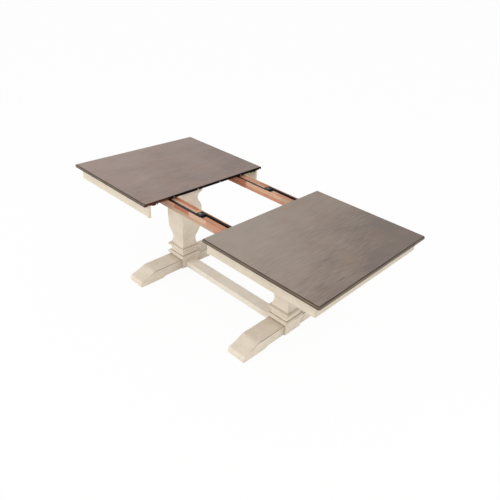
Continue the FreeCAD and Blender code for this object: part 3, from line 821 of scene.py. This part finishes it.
def group_tree(name: str, sockets: Mapping[str, str]) -> Tree:
    """Start a geometry node tree with named inputs.

    Args:
        name: Name of the tree.
        sockets: Kind of each input after the geometry, by its name.

    Returns:
        The tree, with its sockets and no nodes.
    """
    tree = bpy.data.node_groups.new(name, "GeometryNodeTree")
    for socket, kind in {"Geometry": "Geometry", **sockets}.items():
        tree.interface.new_socket(socket, in_out="INPUT", socket_type="NodeSocket" + kind)
    tree.interface.new_socket("Geometry", in_out="OUTPUT", socket_type="NodeSocketGeometry")
    return tree


def end_tree(tree: Tree, placed: Socket, metal: Socket) -> Tree:
    """End a geometry node tree: make its instances real and set their material.

    Args:
        tree: The node tree.
        placed: Its instances.
        metal: Their material.

    Returns:
        The finished tree.
    """
    real = result(tree, "GeometryNodeRealizeInstances", {0: placed})
    dressed = result(tree, "GeometryNodeSetMaterial", {"Geometry": real, "Material": metal})
    add_node(tree, "NodeGroupOutput", {0: dressed})
    return tree


def shaped_by(piece: Piece, tree: Tree, values: Mapping[str, object]) -> Piece:
    """Shape an object by a geometry node tree and leave it with its plain mesh.

    Args:
        piece: The object.
        tree: The node tree.
        values: Value of each of the tree's named inputs.

    Returns:
        The same object with the finished mesh.
    """
    modifier = piece.modifiers.new("shape", "NODES")
    modifier.node_group = tree
    for socket in tree.interface.items_tree:
        if socket.in_out == "INPUT" and socket.name in values:
            modifier[socket.identifier] = values[socket.name]
    return made_plain(piece)


@dataclass(frozen=True)
class ScrewRow:
    """Pan-head screws with a cross recess, set at given points and facing one way."""

    head_radius: float = 4.2 * MM
    head_height: float = 2.2 * MM
    recess_width: float = 1.1 * MM
    seed: int = 11
    sides: int = 20
    crown_share: float = 0.66
    recess_share: float = 1.05
    recess_lift: float = 0.6
    proud_share: float = 0.2

    def tree(self) -> Tree:
        """Make the node tree of the screws, or find it if it is made.

        Returns:
            The node tree.
        """
        tree = bpy.data.node_groups.get("screw row")
        if tree is not None:
            return tree
        tree = group_tree("screw row", {
            "Facing": "Vector", "Head Radius": "Float", "Head Height": "Float", "Recess Width": "Float",
            "Seed": "Int", "Metal": "Material",
        })
        given = add_node(tree, "NodeGroupInput").outputs
        radius, height = given["Head Radius"], given["Head Height"]
        head = result(tree, "GeometryNodeMeshCone", {
            "Vertices": self.sides, "Radius Top": maths(tree, "MULTIPLY", radius, self.crown_share),
            "Radius Bottom": radius, "Depth": height,
        })
        reach = maths(tree, "MULTIPLY", radius, self.recess_share)
        bars = add_node(tree, "GeometryNodeJoinGeometry")
        for way, other in (("X", "Y"), ("Y", "X")):
            size = vector(tree, **{way: reach, other: given["Recess Width"], "Z": height})
            tree.links.new(result(tree, "GeometryNodeMeshCube", {"Size": size}), bars.inputs[0])
        cross = result(tree, "GeometryNodeTransform", {
            "Geometry": bars.outputs[0],
            "Translation": vector(tree, Z=maths(tree, "MULTIPLY", height, self.recess_lift)),
        })
        recessed = result(tree, "GeometryNodeMeshBoolean", {"Mesh 1": head, "Mesh 2": cross},
                          operation="DIFFERENCE")
        spin = result(tree, "FunctionNodeRandomValue", {"Max": (0.0, 0.0, math.tau), "Seed": given["Seed"]},
                      data_type="FLOAT_VECTOR")
        aligned = result(tree, "FunctionNodeAlignRotationToVector", {
            "Rotation": result(tree, "FunctionNodeEulerToRotation", {0: spin}), "Vector": given["Facing"],
        }, axis="Z")
        placed = result(tree, "GeometryNodeInstanceOnPoints", {
            "Points": given["Geometry"], "Instance": recessed, "Rotation": aligned,
        })
        return end_tree(tree, placed, given["Metal"])

    def set_at(self, name: str, places: Sequence[Vector], facing: Vector, body: str,
               metal: Finish = ZINC_STEEL) -> Piece:
        """Set screws at points.

        Args:
            name: Name of the piece.
            places: Middle of each screw's seat.
            facing: Way that the heads look.
            body: Body of the model that they move with.
            metal: Finish of the screws.

        Returns:
            The piece with all the screws.
        """
        points = bpy.data.meshes.new(name)
        lift = facing.normalized() * (self.head_height * self.proud_share)
        points.from_pydata([place + lift for place in places], [], [])
        piece = shaped_by(new_object(name, points), self.tree(), {
            "Facing": facing, "Head Radius": self.head_radius, "Head Height": self.head_height,
            "Recess Width": self.recess_width, "Seed": self.seed, "Metal": metal.material(),
        })
        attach(piece, body)
        return piece


WOOD_SCREW = ScrewRow()
STOP_SCREW = ScrewRow(6.5 * MM, 2.6 * MM, 1.2 * MM, 3)
AXLE_SCREW = ScrewRow(7.0 * MM, 1.5 * MM, 1.6 * MM, 5)
FOOT_SCREW = ScrewRow(3.6 * MM, 1.8 * MM, 0.9 * MM, 9)


@dataclass(frozen=True)
class TurnedPins:
    """Row of turned alignment pins across the table, with rounded noses."""

    count: int = 6
    pitch: float = 203.2 * MM
    radius: float = 4.0 * MM
    proud: float = 9.5 * MM
    sunk: float = 22.0 * MM
    height: float = 752.475 * MM
    gap_edge: float = -266.7 * MM
    nose_length: float = 2.4 * MM
    shank_share: float = 0.87
    cheek_share: float = 0.9
    tip_share: float = 0.5
    steps: int = 33
    sides: int = 28
    sharp_from: float = math.radians(40)

    def tree(self) -> Tree:
        """Make the node tree of the row of pins.

        Returns:
            The node tree.
        """
        tree = group_tree("turned pins", {
            "Count": "Int", "Pitch": "Float", "Radius": "Float", "Length": "Float", "First": "Vector",
            "Metal": "Material",
        })
        given = add_node(tree, "NodeGroupInput").outputs
        line = result(tree, "GeometryNodeCurvePrimitiveLine", {"End": vector(tree, X=given["Length"])})
        dense = result(tree, "GeometryNodeResampleCurve", {"Curve": line, "Count": self.steps})
        along = add_node(tree, "GeometryNodeSplineParameter").outputs["Factor"]
        outline = add_node(tree, "ShaderNodeFloatCurve", {"Value": along})
        self.draw_nose(outline.mapping.curves[0].points)
        outline.mapping.update()
        shaped = result(tree, "GeometryNodeSetCurveRadius", {"Curve": dense, "Radius": outline.outputs[0]})
        ring = result(tree, "GeometryNodeCurvePrimitiveCircle", {
            "Resolution": self.sides, "Radius": given["Radius"],
        }, mode="RADIUS")
        solid = result(tree, "GeometryNodeCurveToMesh", {
            "Curve": shaped, "Profile Curve": ring, "Fill Caps": True,
        })
        row = result(tree, "GeometryNodeMeshLine", {
            "Count": given["Count"], "Start Location": given["First"],
            "Offset": vector(tree, Y=given["Pitch"]),
        })
        placed = result(tree, "GeometryNodeInstanceOnPoints", {"Points": row, "Instance": solid})
        return end_tree(tree, placed, given["Metal"])

    def draw_nose(self, points: bpy.types.CurveMapPoints) -> None:
        """Draw a pin's outline: a thin shank in the wood, a full head and a rounded nose.

        Args:
            points: Points of the outline, as shares of the length and of the radius.
        """
        length = self.sunk + self.proud
        shoulder = self.sunk / length
        nose = 1 - self.nose_length / length
        points[0].location = (0.0, self.shank_share)
        points[1].location = (1.0, self.tip_share)
        for place, share in ((shoulder - 0.01, self.shank_share), (shoulder, 1.0), (nose, 1.0),
                             ((1 + nose) / 2, self.cheek_share)):
            points.new(place, share)
        for point in points:
            point.handle_type = "VECTOR"

    def build(self) -> list[Piece]:
        """Make the row of pins in place of the model's plain ones.

        Returns:
            The one piece with all the pins.
        """
        piece = new_object("turned_alignment_pins", bpy.data.meshes.new("turned_alignment_pins"))
        first = (self.gap_edge - self.sunk, -self.pitch * (self.count - 1) / 2, self.height)
        shaped_by(piece, self.tree(), {
            "Count": self.count, "Pitch": self.pitch, "Radius": self.radius,
            "Length": self.sunk + self.proud, "First": first, "Metal": ZINC_STEEL.material(),
        })
        piece.data.shade_smooth()
        piece.data.set_sharp_from_angle(angle=self.sharp_from)
        return [set_in(piece, "alignment_pins")]


@dataclass(frozen=True)
class EasedEdge:
    """Arrises softened with sandpaper, which show a finish of their own."""

    arris: float
    steps: int = 3
    sharp_from: float = math.radians(32)
    flat_under: float = math.radians(0.6)
    merge: float = 0.02 * MM

    def copy(self, node: str, coat: Finish, edge_coat: Finish) -> Piece:
        """Copy a node of the model with softened arrises.

        Args:
            node: Name of the node.
            coat: Finish of the faces.
            edge_coat: Finish of the softened arrises.

        Returns:
            The piece that stands for the node.
        """
        solid = frame["nodes"][node].data
        mesh = bpy.data.meshes.new(node + "_eased")
        mesh.from_pydata([corner.co for corner in solid.vertices], [],
                         [tuple(face.vertices) for face in solid.polygons])
        shape = bmesh.new()
        shape.from_mesh(mesh)
        bmesh.ops.remove_doubles(shape, verts=shape.verts, dist=self.merge)
        bmesh.ops.dissolve_limit(shape, angle_limit=self.flat_under, verts=shape.verts, edges=shape.edges)
        shape.to_mesh(mesh)
        shape.free()
        piece = new_object(node + "_eased", mesh)
        mesh.materials.append(coat.material())
        mesh.materials.append(edge_coat.material())
        mesh.shade_smooth()
        bevel = piece.modifiers.new("arris", "BEVEL")
        bevel.width = self.arris
        bevel.segments = self.steps
        bevel.limit_method = "ANGLE"
        bevel.angle_limit = self.sharp_from
        bevel.material = 1
        bevel.harden_normals = True
        return set_in(made_plain(piece), node)


# Sub-assemblies


# Where each block of slide wood starts along X and its tone: lower, then upper lamination
SLIDE_BLOCKS: dict[tuple[Side, str], tuple[Blocks, Blocks]] = {
    (Side.NEAR, "left"): (
        ((-1.0, Tone.SALMON), (-0.33, Tone.DULL), (-0.03, Tone.DULL), (0.17, Tone.SALMON), (0.32, Tone.PALE)),
        ((-1.0, Tone.PALE), (-0.36, Tone.SALMON), (-0.2, Tone.RED), (-0.06, Tone.PALE), (0.1, Tone.SALMON)),
    ),
    (Side.NEAR, "centre"): (
        ((-1.0, Tone.SALMON), (-0.3, Tone.PALE), (0.1, Tone.SALMON)),
        ((-1.0, Tone.SALMON), (-0.34, Tone.PALE), (0.04, Tone.SALMON), (0.3, Tone.PALE)),
    ),
    (Side.NEAR, "right"): (
        ((-1.0, Tone.PALE), (-0.1, Tone.SALMON), (0.2, Tone.PALE)),
        ((-1.0, Tone.SALMON), (-0.05, Tone.PALE), (0.06, Tone.SALMON), (0.2, Tone.RED)),
    ),
    (Side.FAR, "left"): (
        ((-1.0, Tone.PALE), (-0.4, Tone.RED), (-0.17, Tone.SALMON), (0.2, Tone.PALE)),
        ((-1.0, Tone.SALMON), (-0.36, Tone.RED), (-0.17, Tone.PALE), (0.16, Tone.DULL), (0.3, Tone.SALMON)),
    ),
    (Side.FAR, "centre"): (
        ((-1.0, Tone.PALE), (-0.2, Tone.SALMON), (0.2, Tone.PALE)),
        ((-1.0, Tone.PALE), (-0.3, Tone.SALMON), (-0.1, Tone.PALE), (0.1, Tone.SALMON)),
    ),
    (Side.FAR, "right"): (
        ((-1.0, Tone.SALMON), (-0.15, Tone.PALE), (0.3, Tone.SALMON)),
        ((-1.0, Tone.PALE), (-0.1, Tone.SALMON), (0.25, Tone.RED)),
    ),
}


@dataclass(frozen=True)
class Lamp:
    """A large soft square lamp that looks at the table."""

    name: str
    place: tuple[float, float, float]
    size: float
    power: float
    aim: tuple[float, float, float] = (0.0, 0.0, 0.5)

    def hang(self) -> None:
        """Hang the lamp in its place."""
        light = bpy.data.lights.new(self.name, "AREA")
        light.size = self.size
        light.energy = self.power
        hung = new_object(self.name, light)
        hung.location = self.place
        hung.rotation_euler = (Vector(self.aim) - Vector(self.place)).to_track_quat("-Z", "Y").to_euler()


@dataclass(frozen=True)
class Studio:
    """Pale floor, soft lamps and the camera at the photograph's angle."""

    camera_place: tuple[float, float, float] = (2.03589, -2.15926, 2.16222)
    elevation: float = 31.1329
    azimuth: float = 40.9921
    roll: float = 5.1003
    lens: float = 36.0
    view_reach: float = 100.0
    floor_size: float = 400.0
    floor_tone: str = "F4F4F2"
    floor_white: float = 0.95
    sky_strength: float = 0.74
    lamps: tuple[Lamp, ...] = (
        Lamp("key", (-2.9, -4.4, 2.6), 3.0, 92.0), Lamp("fill", (3.8, -1.6, 3.8), 2.6, 84.0),
    )

    def build(self) -> None:
        """Make the floor, the world, the lamps and the camera."""
        self.lay_floor()
        self.set_world()
        for lamp in self.lamps:
            lamp.hang()
        self.set_camera()

    def lay_floor(self) -> None:
        """Make the floor, which shows white and keeps a faint shadow of the table."""
        mesh = bpy.data.meshes.new("floor")
        half = self.floor_size / 2
        mesh.from_pydata([(-half, -half, 0), (half, -half, 0), (half, half, 0), (-half, half, 0)], [],
                         [(0, 1, 2, 3)])
        floor = new_object("floor", mesh)
        made = bpy.data.materials.new("pale_floor")
        made.use_nodes = True
        tree = made.node_tree
        tree.nodes.clear()
        matt = result(tree, "ShaderNodeBsdfDiffuse", {"Color": linear(self.floor_tone)})
        white = result(tree, "ShaderNodeEmission", {"Color": WHITE, "Strength": 1.0})
        rays = add_node(tree, "ShaderNodeLightPath").outputs
        seen = maths(tree, "MAXIMUM", rays["Is Camera Ray"], rays["Is Glossy Ray"])
        mixed = either(tree, maths(tree, "MULTIPLY", seen, self.floor_white), matt, white)
        add_node(tree, "ShaderNodeOutputMaterial", {"Surface": mixed})
        mesh.materials.append(made)

    def set_world(self) -> None:
        """Surround the table with an even pale light that shows as white."""
        world = bpy.data.worlds.new("studio")
        bpy.context.scene.world = world
        world.use_nodes = True
        tree = world.node_tree
        tree.nodes.clear()
        seen = add_node(tree, "ShaderNodeLightPath").outputs["Is Camera Ray"]
        strength = spread(tree, seen, 0.0, 1.0, self.sky_strength, 1.0)
        sky = result(tree, "ShaderNodeBackground", {"Color": WHITE, "Strength": strength})
        add_node(tree, "ShaderNodeOutputWorld", {"Surface": sky})

    def set_camera(self) -> None:
        """Make the camera where the photograph was taken from."""
        lens = bpy.data.cameras.new("photo_view")
        lens.lens = self.lens
        lens.clip_end = self.view_reach
        camera = new_object("photo_view", lens)
        level = Euler((math.radians(90 - self.elevation), 0.0, math.radians(self.azimuth)))
        turned = level.to_matrix() @ Matrix.Rotation(math.radians(self.roll), 3, "Z")
        camera.matrix_world = Matrix.Translation(self.camera_place) @ turned.to_4x4()
        bpy.context.scene.camera = camera
        bpy.context.scene.view_settings.view_transform = "Standard"


@dataclass(frozen=True)
class TopHalf:
    """One half of the top: its board, its aprons and what stiffens them."""

    end: End
    seed: float
    edge: EasedEdge = EasedEdge(1.6 * MM)
    block_screw_inset: float = 16 * MM
    batten_screw_inset: float = 22 * MM
    batten_end_inset: float = 30 * MM

    def board_finish(self) -> StainedVeneer:
        """Choose the half's stain, a little redder on the left and greyer on the right, with a painted light
        slope that darkens each board towards its right end and its far side.

        Returns:
            The stain.
        """
        low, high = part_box(self.end.word + "_top")
        places = {"field_height": high.z, "under_height": low.z, "middle": (low.x + high.x) / 2,
                  "seed": self.seed}
        if self.end is End.LEFT:
            return StainedVeneer("stained_veneer_left", "A08D84", "907D75", "74645D", "93755F",
                                 fade=-0.35, fade_across=-0.2, **places)
        return StainedVeneer("stained_veneer_right", "978A7E", "897A6F", "6D6058", "8C725D",
                             fade=-0.85, fade_across=-0.45, **places)

    def build(self) -> list[Piece]:
        """Dress the board and the frame under it, and ease the aprons.

        Returns:
            The half's pieces.
        """
        word = self.end.word
        coat = GlazedPaint("apron_paint_" + word, "DFD2BE", "D2C4AF", stroke=Axis.ALONG, seed=self.seed)
        # The end aprons' paint is a darker, shaded copy of the apron paint: painted shade under the top's
        # overhang
        shaded_end_coat = GlazedPaint("end_apron_paint_" + word, "D1C5B1", "C4B7A3", stroke=Axis.ACROSS,
                               seed=self.seed + 1)
        batten_stain = SawnHardwood("batten_stain_" + word, "4A3A2E", "33271F", seed=self.seed)
        block_wood = SawnHardwood("corner_block_wood_" + word, along=Axis.UP, seed=self.seed)
        return [
            self.board_finish().dress(word + "_top"),
            *(self.edge.copy(f"{word}_{place}_apron", paint, ARRIS_GLAZE)
              for place, paint in (("near", coat), ("far", coat), ("end", shaded_end_coat))),
            batten_stain.dress(word + "_battens"),
            block_wood.dress(word + "_corner_blocks"),
            *self.fix_blocks(),
        ]

    def fix_blocks(self) -> list[Piece]:
        """Set a screw up through each corner block and two rows of three through the battens.

        Returns:
            The screws of the blocks and those of the battens.
        """
        word = self.end.word
        low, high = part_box(word + "_corner_blocks")
        along = (low.x if self.end is End.LEFT else high.x) - self.end.value * self.block_screw_inset
        across = high.y - self.block_screw_inset
        corners = [Vector((along, side.value * across, low.z)) for side in Side]
        low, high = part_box(word + "_battens")
        rows = (low.x + self.batten_screw_inset, high.x - self.batten_screw_inset)
        across = high.y - self.batten_end_inset
        seats = [Vector((x, y, low.z)) for x in rows for y in (-across, 0.0, across)]
        return [WOOD_SCREW.set_at(f"{word}_{name}_screws", places, DOWN, word + "_half")
                for name, places in (("block", corners), ("batten", seats))]


@dataclass(frozen=True)
class Pedestal:
    """One square baluster pedestal with its two feet and the beam on top."""

    end: End
    seed: float
    edge: EasedEdge = EasedEdge(1.8 * MM)
    foot_edge: EasedEdge = EasedEdge(3.4 * MM)
    seam_width: float = 2.4 * MM
    roll_tops: Pair = (0.31, 0.965)
    line_width: float = 2.8 * MM
    foot_line: float = 3.0 * MM
    # A wide soft band of painted shade, with some glaze, on the foot's top beside the post
    foot_cloud: float = 75.0 * MM
    cloud_strength: float = 0.28

    def turning_creases(self) -> list[Crease]:
        """Find the heights on the turned pieces where glaze lies.

        Returns:
            The seams and the lines over the moulding's rolls.
        """
        low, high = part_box(self.end.word + "_base_moulding")
        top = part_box(self.end.word + "_column")[1].z
        lines = [Crease(Axis.UP, low.z, self.seam_width, 0.8), Crease(Axis.UP, top, self.seam_width, 0.9)]
        return lines + [Crease(Axis.UP, low.z + share * (high.z - low.z), self.line_width, 0.85, 0.5)
                        for share in self.roll_tops]

    def build(self) -> list[Piece]:
        """Ease and paint the pedestal's pieces and dress its beam.

        Returns:
            The pedestal's pieces.
        """
        word = self.end.word
        turned = GlazedPaint("turning_paint_" + word, glaze="6C5740", creases=tuple(self.turning_creases()),
                             least_gathered=0.6, seed=self.seed)
        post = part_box(word + "_post_block")[1].y
        # The second crease is painted shade, with some glaze, that darkens the foot's top softly beside the
        # post
        creases = (Crease(Axis.ACROSS, post, self.foot_line),
                   Crease(Axis.ACROSS, post, self.foot_cloud, self.cloud_strength))
        foot_coat = GlazedPaint("foot_paint_" + word, stroke=Axis.ACROSS, creases=creases, seed=self.seed)
        return [
            *(self.edge.copy(f"{word}_{piece}", turned, ARRIS_GLAZE)
              for piece in ("post_block", "base_moulding", "column", "cap_plate")),
            *(self.foot_edge.copy(f"{word}_{side.word}_foot", foot_coat, FOOT_GLAZE) for side in Side),
            SawnHardwood("beam_wood_" + word, seed=self.seed).dress(word + "_cross_beam"),
        ]


@dataclass(frozen=True)
class Stretcher:
    """The stretcher between the pedestals, its studs and the glides under the feet."""

    edge: EasedEdge = EasedEdge(1.8 * MM)
    seam_width: float = 3.0 * MM
    seed: float = 4.0

    def build(self) -> list[Piece]:
        """Ease and paint the stretcher and dress the fittings.

        Returns:
            The stretcher, its studs and the glides.
        """
        creases = (Crease(Axis.ALONG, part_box("stretcher")[1].x, self.seam_width),)
        # The stretcher's cream is a lighter copy of the paint: painted light that makes up for the shade
        # under the table
        coat = GlazedPaint("stretcher_paint", "FBF2E3", "F0E5D4", stroke=Axis.ALONG, creases=creases,
                           seed=self.seed)
        return [self.edge.copy("stretcher", coat, ARRIS_GLAZE), ZINC_STEEL.dress("stretcher_studs"),
                NYLON.dress("foot_glides")]


@dataclass(frozen=True)
class EqualiserSlide:
    """A geared slide: a centre member, a rail on each half, racks, a pinion, a bracket and screws.

    Grease and painted shadow of the racks' grooves, on the wood round the racks, are drawn wider than a
    real smear, so that the thin dark lines beside the racks show from the camera.
    """

    side: Side
    seed: float
    # How far the grease and painted groove shadow spread beside the left racks, beside the right racks and
    # over the left rails' walls
    left_spread: float = 20.0 * MM
    right_spread: float = 4.0 * MM
    wall_spread: float = 3.0 * MM
    strip_width: float = 11.5 * MM
    strip_sheet: float = 0.28 * MM
    strip_lift: float = 0.03 * MM
    strip_round: float = 3.0 * MM
    round_steps: int = 5
    stop_along: float = 262 * MM
    stop_below: float = 17 * MM
    axle_sunk: float = 1.3 * MM
    foot_sheet: float = 2 * MM
    foot_screw_inset: float = 6 * MM
    foot_screw_reach: float = 10 * MM

    def build(self) -> list[Piece]:
        """Dress the slide's wood and metal, cover its racks and set its screws.

        Returns:
            The slide's pieces.
        """
        word = self.side.word
        beside = tuple(self.beside_rack(end) for end in End)
        pieces = [self.dress_wood("centre", word + "_centre_slide", beside, 0)]
        for end in End:
            pieces += [
                self.dress_wood(end.word, f"{end.word}_{word}_rail", (self.under_rack(end),), 2 + end.value),
                BLACK_STEEL.dress(f"{end.word}_{word}_rack"),
                self.cap_rack(end),
            ]
        return [
            *pieces,
            self.set_stop_screw(End.LEFT if self.side is Side.FAR else End.RIGHT),
            BLACK_STEEL.dress(word + "_pinion"),
            BLACK_STEEL.dress(word + "_pinion_bracket"),
            ZINC_STEEL.dress(word + "_pinion_axle"),
            *self.set_bracket_screws(),
        ]

    def dress_wood(self, member: str, node: str, greased: tuple[Corners, ...], shift: int) -> Piece:
        """Give a member of the slide its blocks of wood, its grease and its painted groove shadow.

        Args:
            member: The member, as the table of blocks names it.
            node: Its node in the model.
            greased: Corners of each place of grease and painted groove shadow.
            shift: Shift of its grain from the slide's own.

        Returns:
            The node's object.
        """
        low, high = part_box(self.side.word + "_centre_slide")
        lower, upper = SLIDE_BLOCKS[self.side, member]
        return JointedHardwood(
            f"slide_wood_{member}_{self.side.word}", greased=greased, lower=lower, upper=upper,
            slide_place=(low.y + high.y) / 2, seed=self.seed + shift,
        ).dress(node)

    def rack_box(self, end: End) -> Corners:
        """Return copies of a rack's lowest and highest corners."""
        low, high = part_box(f"{end.word}_{self.side.word}_rack")
        return Vector(low), Vector(high)

    def under_rack(self, end: End) -> Corners:
        """Find the place of grease and painted groove shadow on a rail, which on a left rail goes up over its
        wall's edge.

        Args:
            end: Half that the rail belongs to.

        Returns:
            The place's corners.
        """
        low, high = self.rack_box(end)
        if end is End.LEFT:
            low.y -= self.wall_spread
            high.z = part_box(f"{end.word}_{self.side.word}_rail")[1].z
        return low, high

    def beside_rack(self, end: End) -> Corners:
        """Find the place of grease and painted groove shadow on the centre member beside a rack's teeth.

        Args:
            end: Half that the rack belongs to.

        Returns:
            The place's corners.
        """
        low, high = self.rack_box(end)
        if end is End.LEFT:
            low.y, high.y = high.y, high.y + self.left_spread
        else:
            low.y, high.y = low.y - self.right_spread, low.y
        return low, high

    def cap_rack(self, end: End) -> Piece:
        """Lay the thin steel strip that covers a rack down to the pitch line of its teeth.

        Args:
            end: Half that the rack belongs to.

        Returns:
            The strip, rounded at both ends.
        """
        name = f"{end.word}_{self.side.word}_rack_strip"
        low, high = self.rack_box(end)
        wall = low.y if end is End.LEFT else high.y
        top = high.z + self.strip_lift
        outline = [(low.x, wall), (high.x, wall)]
        for start, turn in ((high.x - self.strip_round, 0.0), (low.x + self.strip_round, math.pi / 2)):
            for step in range(self.round_steps + 1):
                angle = turn + math.pi / 2 * step / self.round_steps
                across = self.strip_width - self.strip_round + self.strip_round * math.sin(angle)
                outline.append((start + self.strip_round * math.cos(angle), wall - end.value * across))
        shape = bmesh.new()
        face = shape.faces.new([shape.verts.new((x, y, top)) for x, y in outline])
        sheet = bmesh.ops.extrude_face_region(shape, geom=[face])["geom"]
        lower = [corner for corner in sheet if isinstance(corner, bmesh.types.BMVert)]
        bmesh.ops.translate(shape, vec=DOWN * self.strip_sheet, verts=lower)
        middle = top - self.strip_sheet / 2
        rim = [edge for edge in shape.edges if all(corner.co.z > middle for corner in edge.verts)]
        bmesh.ops.bevel(shape, geom=rim, offset=self.strip_sheet / 3, segments=2, affect="EDGES")
        bmesh.ops.recalc_face_normals(shape, faces=shape.faces)
        mesh = bpy.data.meshes.new(name)
        shape.to_mesh(mesh)
        shape.free()
        mesh.materials.append(BLACK_STEEL.material())
        strip = new_object(name, mesh)
        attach(strip, end.word + "_half")
        return strip

    def set_stop_screw(self, end: End) -> Piece:
        """Set the slide's stop screw on a rail's outer face beside the gap.

        Args:
            end: Half that the rail belongs to.

        Returns:
            The screw.
        """
        low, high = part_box(f"{end.word}_{self.side.word}_rail")
        face = high.y if end is End.RIGHT else low.y
        seat = Vector((end.value * self.stop_along, face, high.z - self.stop_below))
        return STOP_SCREW.set_at(f"{end.word}_{self.side.word}_stop_screw", [seat],
                                 Vector((0, end.value, 0)), end.word + "_half", GLINT_PAINTED_ZINC)

    def set_bracket_screws(self) -> list[Piece]:
        """Set the bright axle screw in the bracket and two screws in its foot.

        Returns:
            The axle screw and the foot's screws.
        """
        word = self.side.word
        low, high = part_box(word + "_pinion_bracket")
        middle = (low.y + high.y) / 2
        axle = Vector((0, middle, high.z - self.axle_sunk))
        seats = [Vector((high.x - self.foot_screw_inset, middle + side.value * self.foot_screw_reach,
                         low.z + self.foot_sheet)) for side in Side]
        return [AXLE_SCREW.set_at(word + "_axle_head", [axle], UP, "base"),
                FOOT_SCREW.set_at(word + "_bracket_foot_screws", seats, UP, "base")]


@dataclass(frozen=True)
class Latches:
    """Levers under the left half that hook studs under the right half."""

    steel: tuple[str, ...] = ("latch_plates", "latch_keepers")

    def build(self) -> list[Piece]:
        """Dress the plates, keepers and levers, and return them."""
        return [*(BLACK_STEEL.dress(node) for node in self.steel),
                *(DIPPED_STEEL.dress(side.word + "_latch_lever") for side in Side)]


def main() -> None:
    """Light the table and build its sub-assemblies in order."""
    logging.basicConfig(level=logging.INFO, format="%(name)s: %(message)s")
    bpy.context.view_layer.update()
    Studio().build()
    for part in (
        TopHalf(End.LEFT, 2.0), TopHalf(End.RIGHT, 31.0), Pedestal(End.LEFT, 1.0), Pedestal(End.RIGHT, 8.0),
        Stretcher(), EqualiserSlide(Side.NEAR, 5.0), EqualiserSlide(Side.FAR, 12.0), Latches(), TurnedPins(),
    ):
        for piece in part.build():
            LOG.info("%s: %s is done", type(part).__name__, piece.name)


if __name__ == "__main__":
    main()
